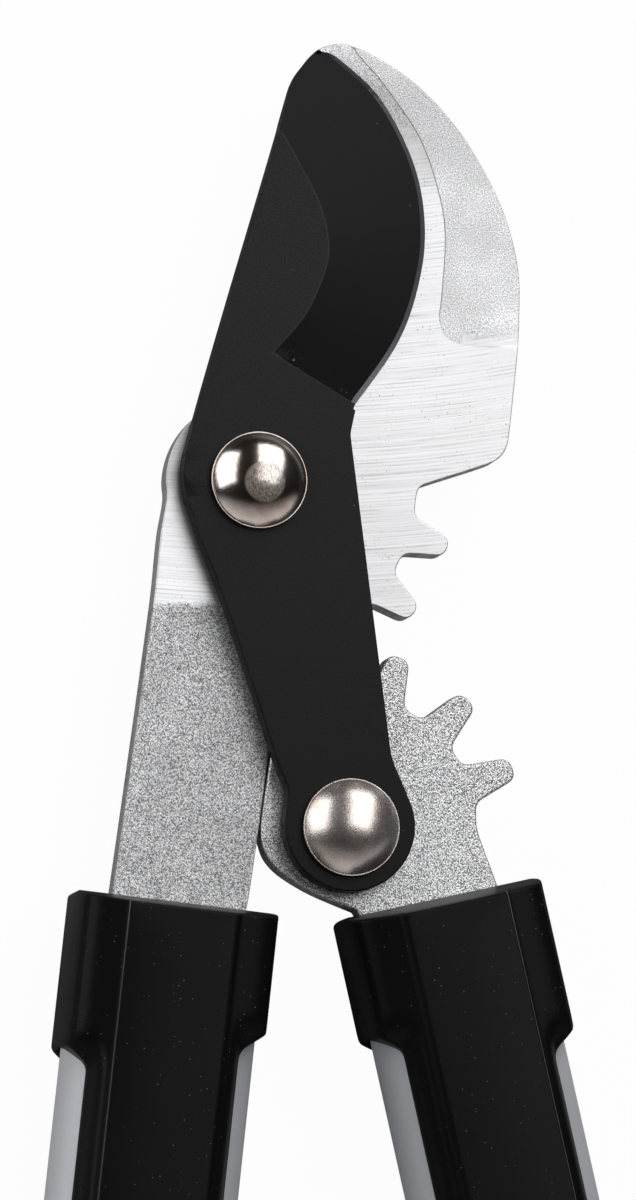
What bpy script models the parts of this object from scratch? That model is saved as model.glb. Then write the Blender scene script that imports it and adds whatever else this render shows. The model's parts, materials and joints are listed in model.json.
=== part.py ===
"""Geared lopper, lying flat with its blades closed.

The tool's length runs along Y with the blades at +Y, and its thickness runs along Z with the
black blade uppermost. It rests on the plane Z = 0, centred on the origin.
The sizes below are millimetres. An outline's points are counted from the top pivot, and a handle's
parts are counted from the middle of its collar's mouth: outward, then down the handle.
"""

import math

import bmesh
import bpy
from mathutils import Vector

mm = 0.001
cutter_reach = 20.0

# Layers, as heights above or below the middle of the handles
half_depth = 13.4
arm_half_thickness = 2.5
blade_back = 2.8
blade_front = 7.0
bevel_height = 0.9
layer_gap = 0.3

# Pivots
pivot_distance = 60.0
pivot_angle = -78.17
lower_pivot = (
    pivot_distance * math.cos(math.radians(pivot_angle)),
    pivot_distance * math.sin(math.radians(pivot_angle)),
)
pin_radius = 5.0
running_gap = 0.15
bush_radius = 7.0
rivet_head_radius = 8.15
rivet_head_height = 4.8
rivet_tail_radius = 7.0
rivet_tail_length = 2.2
washer_radius = 8.4
washer_thickness = 1.2

# Gear teeth: a full circle would hold 17 on the hook arm and 14 on the gear lever
hook_pitch = 360 / 17
lever_pitch = 360 / 14
hook_first_tooth = -19.8
lever_first_tooth = 17.6
hook_root, hook_tip = 27.9, 34.7
hook_root_half, hook_tip_half = 6.8, 2.5
lever_root, lever_tip = 23.0, 30.8
lever_root_half, lever_tip_half = 8.4, 3.4
root_fillet, tip_fillet = 1.9, 1.8
boss_radius = 14.9

# Handles
lean = 9.4
collar_mouth = {-1: (-17.0, -69.0), 1: (27.5, -70.3)}
tang_half_width = 11.2
tang_start = 8.0
tang_end = 60.0
pin_places = (26.0, 48.0)
tang_pin_radius = 2.5
tube_start, tube_end = 7.0, 540.0
tube_half_width, tube_half_depth = 16.1, 10.0
tube_wall = 1.6
collar_half_width = 17.35
collar_outer_length, collar_inner_length = 25.6, 20.0
mouth_flat, mouth_drop = 3.0, 2.65
tongue_half_width = 12.3
tongue_end = 96.0
panel_half_width = 9.25
slot_half_width = 14.6
grip_start, grip_end = 360.0, 545.0
cap_length = 8.0
cap_rim_length = 4.5
cap_plug_length = 25.0
cap_half_width = 20.6
cap_end_half_width = 17.0
grip_squareness = 2.3

# The hook's highest point and the caps' lowest one centre the tool on the origin
tool_top = 74.76
tool_bottom = (
    collar_mouth[1][1]
    - (grip_end + layer_gap + cap_length) * math.cos(math.radians(lean))
    - cap_end_half_width * math.sin(math.radians(lean))
)
top_pivot_place = (
    -(collar_mouth[-1][0] + collar_mouth[1][0]) / 2,
    -(tool_top + tool_bottom) / 2,
    half_depth,
)


# Outlines

def polar(centre, radius, degrees):
    angle = math.radians(degrees)
    return centre[0] + radius * math.cos(angle), centre[1] + radius * math.sin(angle)


def arc(centre, radius, start, end, steps):
    return [polar(centre, radius, start + (end - start) * i / steps) for i in range(steps + 1)]


def oval(half_width, half_height, count=40, power=2.0):
    """Points round an oval; a power above 2 squares it up."""
    points = []
    for i in range(count):
        angle = math.tau * i / count
        c, s = math.cos(angle), math.sin(angle)
        across = math.copysign(abs(c) ** (2 / power), c) * half_width
        upward = math.copysign(abs(s) ** (2 / power), s) * half_height
        points.append((across, upward))
    return points


def smooth(points, steps=4):
    """A smooth line through a few points."""
    ends = [points[0]] + list(points) + [points[-1]]
    line = []
    for p0, p1, p2, p3 in zip(ends, ends[1:], ends[2:], ends[3:]):
        for i in range(steps):
            t = i / steps
            line.append(tuple(
                0.5 * (2 * b + (c - a) * t + (2 * a - 5 * b + 4 * c - d) * t ** 2
                       + (3 * b - a - 3 * c + d) * t ** 3)
                for a, b, c, d in zip(p0, p1, p2, p3)
            ))
    return line + [points[-1]]


def resample(line, count):
    """The same line with its points spaced evenly."""
    lengths = [0.0]
    for a, b in zip(line, line[1:]):
        lengths.append(lengths[-1] + math.dist(a, b))
    points = []
    span = 0
    for i in range(count):
        target = lengths[-1] * i / (count - 1)
        while span < len(line) - 2 and lengths[span + 1] < target:
            span += 1
        share = (target - lengths[span]) / (lengths[span + 1] - lengths[span])
        points.append(tuple(a + (b - a) * share for a, b in zip(line[span], line[span + 1])))
    return points


def rounded(corners):
    """A closed outline whose corners (x, y, radius) are rounded off; without a radius they stay sharp."""
    outline = []
    for i, corner in enumerate(corners):
        here = Vector(corner[:2])
        if len(corner) < 3:
            outline.append(tuple(here))
            continue
        before = (Vector(corners[i - 1][:2]) - here).normalized()
        after = (Vector(corners[(i + 1) % len(corners)][:2]) - here).normalized()
        turn = math.pi - before.angle(after)
        reach = corner[2] * math.tan(turn / 2)
        centre = here + (before + after).normalized() * (corner[2] / math.cos(turn / 2))
        start = here + before * reach - centre
        end = here + after * reach - centre
        steps = max(2, round(math.degrees(turn) / 20))
        for step in range(steps + 1):
            share = step / steps
            spoke = start * math.sin((1 - share) * turn) + end * math.sin(share * turn)
            outline.append(tuple(centre + spoke / math.sin(turn)))
    return outline


def tooth(centre, middle, root, tip, root_half, tip_half, turning):
    """Four corners of one gear tooth, met in the turning direction: 1 counter-clockwise, -1 clockwise."""
    return [
        (*polar(centre, root, middle - turning * root_half), root_fillet),
        (*polar(centre, tip, middle - turning * tip_half), tip_fillet),
        (*polar(centre, tip, middle + turning * tip_half), tip_fillet),
        (*polar(centre, root, middle + turning * root_half), root_fillet),
    ]


def handle_point(side, outward, down):
    """A place on a handle, as a point counted from the top pivot."""
    angle = math.radians(lean)
    mouth = collar_mouth[side]
    return (
        mouth[0] + side * (outward * math.cos(angle) + down * math.sin(angle)),
        mouth[1] + outward * math.sin(angle) - down * math.cos(angle),
    )


def tang(side):
    """The tang's outline inside the handle, from its outer edge round to its inner edge."""
    half = tang_half_width
    return [
        handle_point(side, half, tang_start),
        (*handle_point(side, half, tang_end), 3.0),
        (*handle_point(side, -half, tang_end), 3.0),
        handle_point(side, -half, tang_start),
    ]


# The blade: its ground zone runs from the grind line to the cutting edge
end_disc_radius = 11.05
blade_heel = (17.3, 11.4)
spine_top = (7.05, 59.6)
grind_corner = (3.6, 21.5)
grind_end = (17.3, 12.4)
grind_arc = smooth([
    spine_top, (10.2, 53.3), (13.2, 46.4), (14.3, 40.4), (13.5, 35.4), (9.6, 27.8), grind_corner,
])
blade_tip = smooth([spine_top, (9.1, 65.6), (10.2, 68.3), (11.7, 70.3), (13.7, 72.5), (15.1, 73.55)], 3)
cutting_edge = smooth([
    (15.1, 73.55), (16.1, 73.7), (19.4, 71.5), (25.4, 65.3), (30.2, 55.2),
    (31.9, 45.6), (30.9, 35.5), (26.5, 23.9), (18.0, 12.8),
])


def blade_outlines():
    """The blade's outline at its back face, and at its front face, where the ground zone is missing."""
    end_disc = arc((12.3, -58.3), end_disc_radius, 24, -190, 22)
    fixed = rounded(
        [blade_heel, (16.2, 7.5, 4.0), (17.35, -9.3), (20.0, -47.2, 10.0)]
        + end_disc
        + [(2.2, -52.0, 4.0), (0.7, -47.8), (-5.8, -23.6), (-13.4, 1.2, 16.0), spine_top]
    )
    split = int(len(cutting_edge) * 0.7)
    back = fixed + resample(blade_tip, 9)[1:]
    back += resample(cutting_edge[:split + 1], 17)[1:] + resample(cutting_edge[split:], 10)[1:]
    front = fixed + resample(grind_arc, 25)[1:] + resample([grind_corner, grind_end], 10)[1:]
    return back, front


def hook_arm_outline():
    """Clockwise from the hook's tip, down the outside, round the teeth, the tang and the boss."""
    outside = smooth([
        (13.6, 72.3), (14.9, 73.6), (17.3, 74.53), (20.5, 74.6), (25.2, 72.5), (32.0, 67.6), (38.0, 60.8),
        (42.4, 53.4), (46.0, 44.7), (47.8, 35.1), (47.2, 24.6), (46.0, 16.3),
    ])
    corners = list(outside)
    corners += [(43.7, 3.1, 5.0), (28.1, -1.3, 2.0)]
    for i in range(3):
        middle = hook_first_tooth - hook_pitch * i
        corners += tooth((0, 0), middle, hook_root, hook_tip, hook_root_half, hook_tip_half, -1)
    last = hook_first_tooth - hook_pitch * 3
    corners += [
        (*polar((0, 0), hook_root, last + hook_root_half), root_fillet),
        (*polar((0, 0), hook_tip, last + hook_tip_half), tip_fillet),
        (2.0, -35.3, 1.5),
        (-4.65, -69.0),
    ]
    corners += reversed(tang(-1))
    corners += [(-27.9, -69.0), (-18.0, -18.9), (-16.2, -7.7)]
    corners += arc((0, 0), boss_radius, 186, 58, 12)
    corners += smooth([
        (10.4, 12.7), (17.4, 16.4), (23.8, 24.0), (28.0, 33.5), (29.3, 43.0),
        (27.6, 53.6), (23.0, 63.0), (17.0, 69.2), (13.6, 71.2),
    ])
    return rounded(corners)


def gear_lever_outline():
    """Counter-clockwise from below the lowest tooth, over the teeth, the hub and the tang."""
    corners = [polar(lower_pivot, 22.6, -1)]
    for i in range(4):
        middle = lever_first_tooth + lever_pitch * i
        corners += tooth(lower_pivot, middle, lever_root, lever_tip, lever_root_half, lever_tip_half, 1)
    corners += [
        (*polar(lower_pivot, lever_root, 116.6), 1.2),
        (-1.7, -55.6),
    ]
    corners += smooth([
        (-2.1, -59.4), (-1.3, -62.5), (0.9, -65.3), (5.0, -68.2), (8.8, -70.2), (13.4, -72.3),
    ], 2)
    corners += reversed(tang(1))
    corners += [(37.1, -66.8), (35.6, -62.0)]
    return rounded(corners)


# Solids

def placed(name, bm, material, parent):
    """Turn a bmesh into a named object, shaded smooth with crisp edges."""
    bmesh.ops.triangulate(bm, faces=[face for face in bm.faces if len(face.verts) > 4])
    bmesh.ops.recalc_face_normals(bm, faces=bm.faces[:])
    mesh = bpy.data.meshes.new(name)
    bm.to_mesh(mesh)
    bm.free()
    mesh.materials.append(material)
    mesh.shade_smooth()
    mesh.set_sharp_from_angle(angle=math.radians(35))
    obj = bpy.data.objects.new(name, mesh)
    bpy.context.scene.collection.objects.link(obj)
    obj.parent = parent
    return obj


def loft(loops, hollow=False):
    """Skin a row of loops with the same number of points; a hollow one joins its last loop to its first."""
    bm = bmesh.new()
    rings = [[bm.verts.new([value * mm for value in point]) for point in loop] for loop in loops]
    pairs = list(zip(rings, rings[1:]))
    if hollow:
        pairs.append((rings[-1], rings[0]))
    else:
        bm.faces.new(rings[0])
        bm.faces.new(rings[-1])
    for low, high in pairs:
        for i in range(len(low)):
            j = (i + 1) % len(low)
            bm.faces.new((low[i], low[j], high[j], high[i]))
    return bm


def plate(outline, low, high):
    return loft([[(x, y, z) for x, y in outline] for z in (low, high)])


def along_handle(side, outline, down, height=0.0):
    """A cross-section of the handle: outward and up, at a distance down it."""
    return [(side * x, -down, z + height) for x, z in outline]


def turned(profile, count=48):
    """A solid turned about Z from (radius, height) points."""
    bm = bmesh.new()
    verts = [bm.verts.new((radius * mm, 0, height * mm)) for radius, height in profile]
    edges = [bm.edges.new(pair) for pair in zip(verts, verts[1:])]
    if profile[0][0] > 0:
        edges.append(bm.edges.new((verts[-1], verts[0])))
    bmesh.ops.spin(
        bm, geom=verts + edges, cent=(0, 0, 0), axis=(0, 0, 1),
        angle=math.tau, steps=count, use_duplicate=False, use_merge=True,
    )
    bmesh.ops.remove_doubles(bm, verts=bm.verts[:], dist=0.00001)
    return bm


def ring(inner, outer, low, high):
    return turned([(inner, low), (outer, low), (outer, high), (inner, high)])


def cut(obj, cutter, operation="DIFFERENCE"):
    cutter.hide_render = True
    cutter.display_type = "WIRE"
    modifier = obj.modifiers.new(cutter.name, "BOOLEAN")
    modifier.operation = operation
    modifier.solver = "EXACT"
    modifier.object = cutter


def hole(obj, name, place, radius, count=48):
    """Drill straight through along Z."""
    ends = (-cutter_reach, cutter_reach)
    drill = turned([(0, ends[0]), (radius, ends[0]), (radius, ends[1]), (0, ends[1])], count)
    cutter = placed(name, drill, obj.data.materials[0], obj.parent)
    cutter.location = (place[0] * mm, place[1] * mm, 0)
    cut(obj, cutter)


# Finishes

def finish(name, colour, roughness, metallic):
    material = bpy.data.materials.new(name)
    material.use_nodes = True
    shader = material.node_tree.nodes["Principled BSDF"]
    shader.inputs["Base Color"].default_value = (*colour, 1)
    shader.inputs["Roughness"].default_value = roughness
    shader.inputs["Metallic"].default_value = metallic
    return material


# Pieces

def make_blade(frame):
    back, front = blade_outlines()
    levels = ((blade_back, 0.0), (blade_back + bevel_height, 0.04), (blade_front, 1.0))
    loops = []
    for height, share in levels:
        loops.append([(a[0] + (b[0] - a[0]) * share, a[1] + (b[1] - a[1]) * share, height)
                      for a, b in zip(back, front)])
    coating = finish("black_coating", (0.02, 0.02, 0.02), 0.5, 0.0)
    blade = placed("cutting_blade", loft(loops), coating, frame)
    hole(blade, "blade_top_hole", (0, 0), pin_radius + running_gap)
    hole(blade, "blade_bottom_hole", lower_pivot, pin_radius + running_gap)


def make_rivet(name, frame, material, flat_radius):
    """A domed head in front, a shank through the stack and a spread tail behind the washer."""
    head = blade_front + layer_gap
    rim = 0.7
    dome = []
    for i in range(8):
        angle = math.radians(90 * i / 8)
        radius = rivet_head_radius * math.cos(angle)
        if radius > flat_radius:
            dome.append((radius, head + rim + (rivet_head_height - rim) * math.sin(angle)))
    top = head + rivet_head_height
    tail = -arm_half_thickness - washer_thickness - 2 * layer_gap
    profile = [(0, top)]
    if flat_radius:
        profile.append((flat_radius, top))
    profile += reversed(dome)
    profile += [
        (rivet_head_radius, head), (pin_radius, head), (pin_radius, tail), (rivet_tail_radius, tail),
        (rivet_tail_radius, tail - 0.4 * rivet_tail_length),
        (rivet_tail_radius * 0.7, tail - 0.9 * rivet_tail_length), (0, tail - rivet_tail_length),
    ]
    placed(name, turned(profile), material, frame)


def make_pivot(prefix, frame, flat_radius):
    nickel = finish(prefix + "_nickel", (0.72, 0.66, 0.6), 0.18, 1.0)
    steel = finish(prefix + "_washer_steel", (0.6, 0.6, 0.6), 0.35, 1.0)
    bronze = finish(prefix + "_bush_bronze", (0.55, 0.36, 0.16), 0.35, 1.0)
    make_rivet(prefix + "_rivet", frame, nickel, flat_radius)
    under = -arm_half_thickness - layer_gap
    inner = pin_radius + running_gap
    placed(prefix + "_washer", ring(inner, washer_radius, under - washer_thickness, under), steel, frame)
    bush = ring(inner, bush_radius, -arm_half_thickness, arm_half_thickness)
    placed(prefix + "_bush", bush, bronze, frame)


def make_arm(name, outline, pivot, frame, side, colour):
    """A flat steel arm: its bush hole and the two pin holes of its tang."""
    steel = finish(name + "_steel", colour, 0.4, 1.0)
    points = [(x - pivot[0], y - pivot[1]) for x, y in outline]
    arm = placed(name, plate(points, -arm_half_thickness, arm_half_thickness), steel, frame)
    hole(arm, name + "_bush_hole", (0, 0), bush_radius + running_gap)
    for number, down in enumerate(pin_places):
        x, y = handle_point(side, 0, down)
        place = (x - pivot[0], y - pivot[1])
        hole(arm, f"{name}_pin_hole_{number}", place, tang_pin_radius + running_gap, 16)


def collar_section():
    """The collar's cross-section: a flat panel and round shoulders, too wide so that its plan trims it."""
    widest = collar_half_width + 0.2
    quarter = [(panel_half_width, half_depth), (panel_half_width + 0.5, half_depth - 0.7)]
    quarter += smooth([(13.6, 11.8), (16.4, 9.3), (widest, 5.2)], 3)
    upper = quarter + [(widest, 0)]
    lower = [(x, -z) for x, z in reversed(quarter)]
    right = upper + lower
    left = [(-x, -z) for x, z in right]
    return right + left


def collar_plan(side):
    """The collar seen from the front: its side walls, and the tongue that runs down the tube."""
    wide, narrow = collar_half_width, tongue_half_width
    corners = [
        (-wide, 0, 1.2), (wide, 0, 1.2),
        (wide, collar_outer_length, 1.0), (narrow, collar_outer_length + 3.1, 2.5),
        (narrow, tongue_end, 6.0), (-narrow, tongue_end, 6.0),
        (-narrow, collar_inner_length + 3.1, 2.5), (-wide, collar_inner_length, 1.0),
    ]
    return [(side * x, -y) for x, y in rounded(corners)]


def collar_side_view():
    """The collar seen from its side, as (distance down, height): its mouth slopes back to both faces."""
    slope = mouth_drop / (half_depth - mouth_flat)
    upper = [(-slope, mouth_flat - 1), (mouth_drop + slope, half_depth + 1), (tongue_end + 1, half_depth + 1)]
    return upper + [(down, -height) for down, height in reversed(upper)]


def make_collar(prefix, side, frame, plastic):
    section = collar_section()
    body = loft([along_handle(side, section, down) for down in (-0.5, tongue_end + 0.5)])
    collar = placed(prefix + "_collar", body, plastic, frame)
    sides = loft([[(x, -down, z) for down, z in collar_side_view()] for x in (-cutter_reach, cutter_reach)])
    cut(collar, placed(prefix + "_collar_sides", sides, plastic, frame), "INTERSECT")
    plan = plate(collar_plan(side), -cutter_reach, cutter_reach)
    cut(collar, placed(prefix + "_collar_plan", plan, plastic, frame), "INTERSECT")
    bore = oval(tube_half_width + layer_gap, tube_half_depth + layer_gap)
    seat = loft([along_handle(side, bore, down) for down in (tube_start - layer_gap, tongue_end + 5)])
    cut(collar, placed(prefix + "_collar_seat", seat, plastic, frame))
    slot_half_depth = arm_half_thickness + layer_gap
    slot = [(-slot_half_width, -slot_half_depth), (slot_half_width, -slot_half_depth),
            (slot_half_width, slot_half_depth), (-slot_half_width, slot_half_depth)]
    mouth = loft([along_handle(side, slot, down) for down in (-5, tube_start + 5)])
    cut(collar, placed(prefix + "_collar_slot", mouth, plastic, frame))


def make_tube(prefix, side, frame):
    aluminium = finish(prefix + "_aluminium", (0.34, 0.36, 0.39), 0.4, 0.6)
    outside = oval(tube_half_width, tube_half_depth)
    inside = oval(tube_half_width - tube_wall, tube_half_depth - tube_wall)
    loops = [
        along_handle(side, outside, tube_start), along_handle(side, outside, tube_end),
        along_handle(side, inside, tube_end), along_handle(side, inside, tube_start),
    ]
    tube = placed(prefix + "_tube", loft(loops, hollow=True), aluminium, frame)
    for number, down in enumerate(pin_places):
        hole(tube, f"{prefix}_tube_hole_{number}", (0, -down), tang_pin_radius + running_gap, 16)


def make_core(prefix, side, frame, plastic):
    """The moulded plug that fills the tube round the tang."""
    outside = oval(tube_half_width - tube_wall - layer_gap, tube_half_depth - tube_wall - layer_gap, 32)
    body = loft([along_handle(side, outside, down) for down in (tube_start + 1.5, tang_end + 6)])
    core = placed(prefix + "_tang_core", body, plastic, frame)
    across = tang_half_width + layer_gap
    deep = arm_half_thickness + layer_gap
    slot = [(-across, -deep), (across, -deep), (across, deep), (-across, deep)]
    pocket = loft([along_handle(side, slot, down) for down in (0, tang_end + layer_gap)])
    cut(core, placed(prefix + "_core_slot", pocket, plastic, frame))
    for number, down in enumerate(pin_places):
        hole(core, f"{prefix}_core_hole_{number}", (0, -down), tang_pin_radius + running_gap, 16)


def make_pins(prefix, frame):
    """Two steel pins through tube, core and tang, hidden under the collar's tongue."""
    steel = finish(prefix + "_pin_steel", (0.6, 0.6, 0.6), 0.35, 1.0)
    length = tube_half_depth - layer_gap
    profile = [(0, -length), (tang_pin_radius, -length), (tang_pin_radius, length), (0, length)]
    for position, down in zip(("upper", "lower"), pin_places):
        pin = placed(f"{prefix}_{position}_tang_pin", turned(profile, 16), steel, frame)
        pin.location = (0, -down * mm, 0)


def make_grip(prefix, side, frame, rubber):
    """A sleeve swelling in the palm and flaring at its end, with an oval bore for the tube."""
    length = grip_end - grip_start
    stations = (
        (0.00, 17.4, 11.4), (0.02, 18.4, 12.3), (0.20, 18.2, 13.0), (0.50, 19.6, half_depth),
        (0.80, 18.4, 13.0), (0.93, 20.4, half_depth), (1.00, cap_half_width, half_depth),
    )
    loops = [along_handle(side, oval(wide, deep, 40, grip_squareness), grip_start + length * share)
             for share, wide, deep in stations]
    bore = oval(tube_half_width + layer_gap, tube_half_depth + layer_gap, 40)
    loops += [along_handle(side, bore, grip_end), along_handle(side, bore, grip_start)]
    placed(prefix + "_grip", loft(loops, hollow=True), rubber, frame)


def make_cap(prefix, side, frame, plastic):
    """The end cap: a plug inside the tube and a rounded flange behind the grip."""
    start = grip_end + layer_gap
    plug = oval(tube_half_width - tube_wall - layer_gap, tube_half_depth - tube_wall - layer_gap, 40)
    flange = oval(cap_half_width, half_depth, 40, grip_squareness)
    end = oval(cap_end_half_width, half_depth - 3, 40, grip_squareness)
    loops = [
        along_handle(side, plug, tube_end - cap_plug_length), along_handle(side, plug, start),
        along_handle(side, flange, start), along_handle(side, flange, start + cap_rim_length),
        along_handle(side, end, start + cap_length),
    ]
    placed(prefix + "_end_cap", loft(loops), plastic, frame)


def make_handle(prefix, side, pivot, pivot_frame):
    frame = bpy.data.objects.new(prefix + "_handle_frame", None)
    bpy.context.scene.collection.objects.link(frame)
    frame.parent = pivot_frame
    mouth = collar_mouth[side]
    frame.location = ((mouth[0] - pivot[0]) * mm, (mouth[1] - pivot[1]) * mm, 0)
    frame.rotation_euler = (0, 0, side * math.radians(lean))
    plastic = finish(prefix + "_black_plastic", (0.012, 0.012, 0.013), 0.45, 0.0)
    core_plastic = finish(prefix + "_core_plastic", (0.05, 0.05, 0.05), 0.6, 0.0)
    rubber = finish(prefix + "_grip_rubber", (0.015, 0.015, 0.015), 0.7, 0.0)
    cap_plastic = finish(prefix + "_cap_plastic", (0.02, 0.02, 0.02), 0.5, 0.0)
    make_collar(prefix, side, frame, plastic)
    make_tube(prefix, side, frame)
    make_core(prefix, side, frame, core_plastic)
    make_pins(prefix, frame)
    make_grip(prefix, side, frame, rubber)
    make_cap(prefix, side, frame, cap_plastic)


def pivot_frame(name, offset):
    frame = bpy.data.objects.new(name, None)
    bpy.context.scene.collection.objects.link(frame)
    frame.location = (
        (top_pivot_place[0] + offset[0]) * mm,
        (top_pivot_place[1] + offset[1]) * mm,
        top_pivot_place[2] * mm,
    )
    return frame


def main():
    for obj in list(bpy.data.objects):
        bpy.data.objects.remove(obj, do_unlink=True)
    top = pivot_frame("top_pivot_axis", (0, 0))
    bottom = pivot_frame("bottom_pivot_axis", lower_pivot)
    make_blade(top)
    make_pivot("top_pivot", top, 3.2)
    make_pivot("bottom_pivot", bottom, 0)
    make_arm("hook_arm", hook_arm_outline(), (0, 0), top, -1, (0.62, 0.62, 0.63))
    make_arm("gear_lever", gear_lever_outline(), lower_pivot, bottom, 1, (0.5, 0.5, 0.51))
    make_handle("left", -1, (0, 0), top)
    make_handle("right", 1, lower_pivot, bottom)


main()
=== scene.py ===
import json
import math

import bmesh
import bpy
import numpy as np
from mathutils import Matrix, Vector
from mathutils.geometry import delaunay_2d_cdt


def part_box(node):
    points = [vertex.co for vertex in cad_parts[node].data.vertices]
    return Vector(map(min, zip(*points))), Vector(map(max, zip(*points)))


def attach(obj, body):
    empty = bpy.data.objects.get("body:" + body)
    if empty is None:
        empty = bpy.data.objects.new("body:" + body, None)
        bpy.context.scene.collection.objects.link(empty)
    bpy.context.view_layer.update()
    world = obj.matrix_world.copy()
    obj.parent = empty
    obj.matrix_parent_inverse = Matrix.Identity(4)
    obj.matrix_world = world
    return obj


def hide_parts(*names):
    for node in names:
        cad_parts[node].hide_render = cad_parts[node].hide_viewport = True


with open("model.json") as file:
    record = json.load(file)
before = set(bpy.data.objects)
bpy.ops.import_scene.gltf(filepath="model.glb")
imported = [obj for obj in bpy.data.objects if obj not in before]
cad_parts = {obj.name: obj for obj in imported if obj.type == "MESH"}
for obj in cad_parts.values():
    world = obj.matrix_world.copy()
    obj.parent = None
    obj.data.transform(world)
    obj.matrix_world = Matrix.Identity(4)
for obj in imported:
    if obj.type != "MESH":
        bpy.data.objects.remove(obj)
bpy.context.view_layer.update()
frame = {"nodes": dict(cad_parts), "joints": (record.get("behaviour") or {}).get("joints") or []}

mm = 0.001
sharpCorner = 28         # degrees: an outline that turns by more keeps its corner
sharpEdge = 35           # degrees: shading breaks at an edge that turns by more
levelMargin = 0.02       # millimetres: a point this near a height is at it
lineMargin = 0.12        # millimetres: lines of points end this far from a plate's outlines

topPivot = Vector(frame["joints"][0]["pos_m"])
bottomPivot = Vector(frame["joints"][1]["pos_m"])


# Shared modelling helpers. Outlines are numpy arrays of (x, y) in millimetres, in the frame's own axes.

def fromPivot(points):
    # points counted from the top pivot, put into the frame
    return np.array(points, float) + np.array(topPivot[:2]) / mm


def signedArea(loop):
    x, y = loop[:, 0], loop[:, 1]
    return 0.5 * float(np.sum(x * np.roll(y, -1) - np.roll(x, -1) * y))


def mergedCopy(node):
    bm = bmesh.new()
    bm.from_mesh(frame["nodes"][node].data)
    bmesh.ops.remove_doubles(bm, verts=bm.verts[:], dist=2e-6)
    return bm


def levelLoops(node, height):
    # the closed outlines that a CAD plate has at one height, the largest first
    # that one runs counter-clockwise, and the holes clockwise
    bm = mergedCopy(node)
    level = {v for v in bm.verts if abs(v.co.z / mm - height) < levelMargin}
    links = {}
    for edge in bm.edges:
        a, b = edge.verts
        if a in level and b in level:
            flatFaces = sum(all(v in level for v in face.verts) for face in edge.link_faces)
            if flatFaces < 2:
                links.setdefault(a, []).append(b)
                links.setdefault(b, []).append(a)
    loops = []
    while links:
        here = min(links, key=lambda v: len(links[v]))      # an open line starts at its end
        loop = []
        while here is not None:
            loop.append((here.co.x / mm, here.co.y / mm))
            ahead = [v for v in links.pop(here) if v in links]
            here = ahead[0] if ahead else None
        loops.append(np.array(loop))
    bm.free()
    loops.sort(key=lambda loop: -abs(signedArea(loop)))
    return [loop if (signedArea(loop) > 0) == (i == 0) else loop[::-1] for i, loop in enumerate(loops)]


def turning(before, after):
    # the angle in degrees from each step of (x, y) to the next
    return np.degrees(np.abs(np.angle((after[:, 0] + 1j * after[:, 1]) / (before[:, 0] + 1j * before[:, 1]))))


def refined(loop, step):
    # a smooth curve through an outline's points, with sharp corners kept
    before, after = loop - np.roll(loop, 1, axis=0), np.roll(loop, -1, axis=0) - loop
    turn = turning(before, after)
    tangent = before + after
    tangent /= np.linalg.norm(tangent, axis=1)[:, None]
    points = []
    for i in range(len(loop)):
        j = (i + 1) % len(loop)
        chord = loop[j] - loop[i]
        length = float(np.linalg.norm(chord))
        startPull = chord if turn[i] > sharpCorner else tangent[i] * length
        endPull = chord if turn[j] > sharpCorner else tangent[j] * length
        pieces = max(1, round(length / step))
        for k in range(pieces):
            t = k / pieces
            points.append(
                loop[i] * (2 * t ** 3 - 3 * t ** 2 + 1) + startPull * (t ** 3 - 2 * t ** 2 + t)
                + loop[j] * (3 * t ** 2 - 2 * t ** 3) + endPull * (t ** 3 - t ** 2)
            )
    return np.array(points)


def splineThrough(points, step):
    # an open smooth curve through a few points, with sharp corners kept
    points = np.array(points, float)
    if points.shape[1] == 2 and len(points) > 2:
        legs = np.diff(points, axis=0)
        turn = turning(legs[:-1], legs[1:])
        if turn.max() > sharpCorner:
            at = int(turn.argmax()) + 1
            return np.vstack([splineThrough(points[:at + 1], step)[:-1], splineThrough(points[at:], step)])
    ends = np.vstack([2 * points[0] - points[1], points, 2 * points[-1] - points[-2]])
    line = []
    for p0, p1, p2, p3 in zip(ends, ends[1:], ends[2:], ends[3:]):
        pieces = max(1, round(float(np.linalg.norm(p2 - p1)) / step))
        for k in range(pieces):
            t = k / pieces
            line.append(0.5 * (2 * p1 + (p2 - p0) * t + (2 * p0 - 5 * p1 + 4 * p2 - p3) * t ** 2
                               + (3 * p1 - p0 - 3 * p2 + p3) * t ** 3))
    return np.array(line + [points[-1]])


def leftNormals(loop, closed=True):
    ahead = np.roll(loop, -1, axis=0) - loop
    if not closed:
        ahead[-1] = ahead[-2]
    ahead /= np.linalg.norm(ahead, axis=1)[:, None]
    behind = np.roll(ahead, 1, axis=0)
    if not closed:
        behind[0] = ahead[0]
    both = ahead + behind
    both /= np.linalg.norm(both, axis=1)[:, None]
    reach = 1 / np.clip(np.sum(both * ahead, axis=1), 0.6, 1)
    return np.column_stack([-both[:, 1], both[:, 0]]) * reach[:, None]


def inside(points, loop):
    x, y = points[:, 0:1], points[:, 1:2]
    ax, ay = loop[:, 0], loop[:, 1]
    bx, by = np.roll(ax, -1), np.roll(ay, -1)
    rise = np.where(by == ay, 1e-12, by - ay)
    crossed = ((ay > y) != (by > y)) & (x < ax + (y - ay) * (bx - ax) / rise)
    return crossed.sum(axis=1) % 2 == 1


def distanceTo(points, line, closed=False):
    a = line if closed else line[:-1]
    b = np.roll(line, -1, axis=0) if closed else line[1:]
    nearest = np.full(len(points), np.inf)
    for p, q in zip(a, b):
        d = q - p
        t = np.clip(((points - p) @ d) / max(float(d @ d), 1e-12), 0, 1)
        nearest = np.minimum(nearest, np.linalg.norm(points - p - t[:, None] * d, axis=1))
    return nearest


def inRegion(points, rings):
    # inside the first ring and outside the rest, which are its holes
    clear = inside(points, rings[0])
    for ring in rings[1:]:
        clear &= ~inside(points, ring)
    return clear


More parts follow.
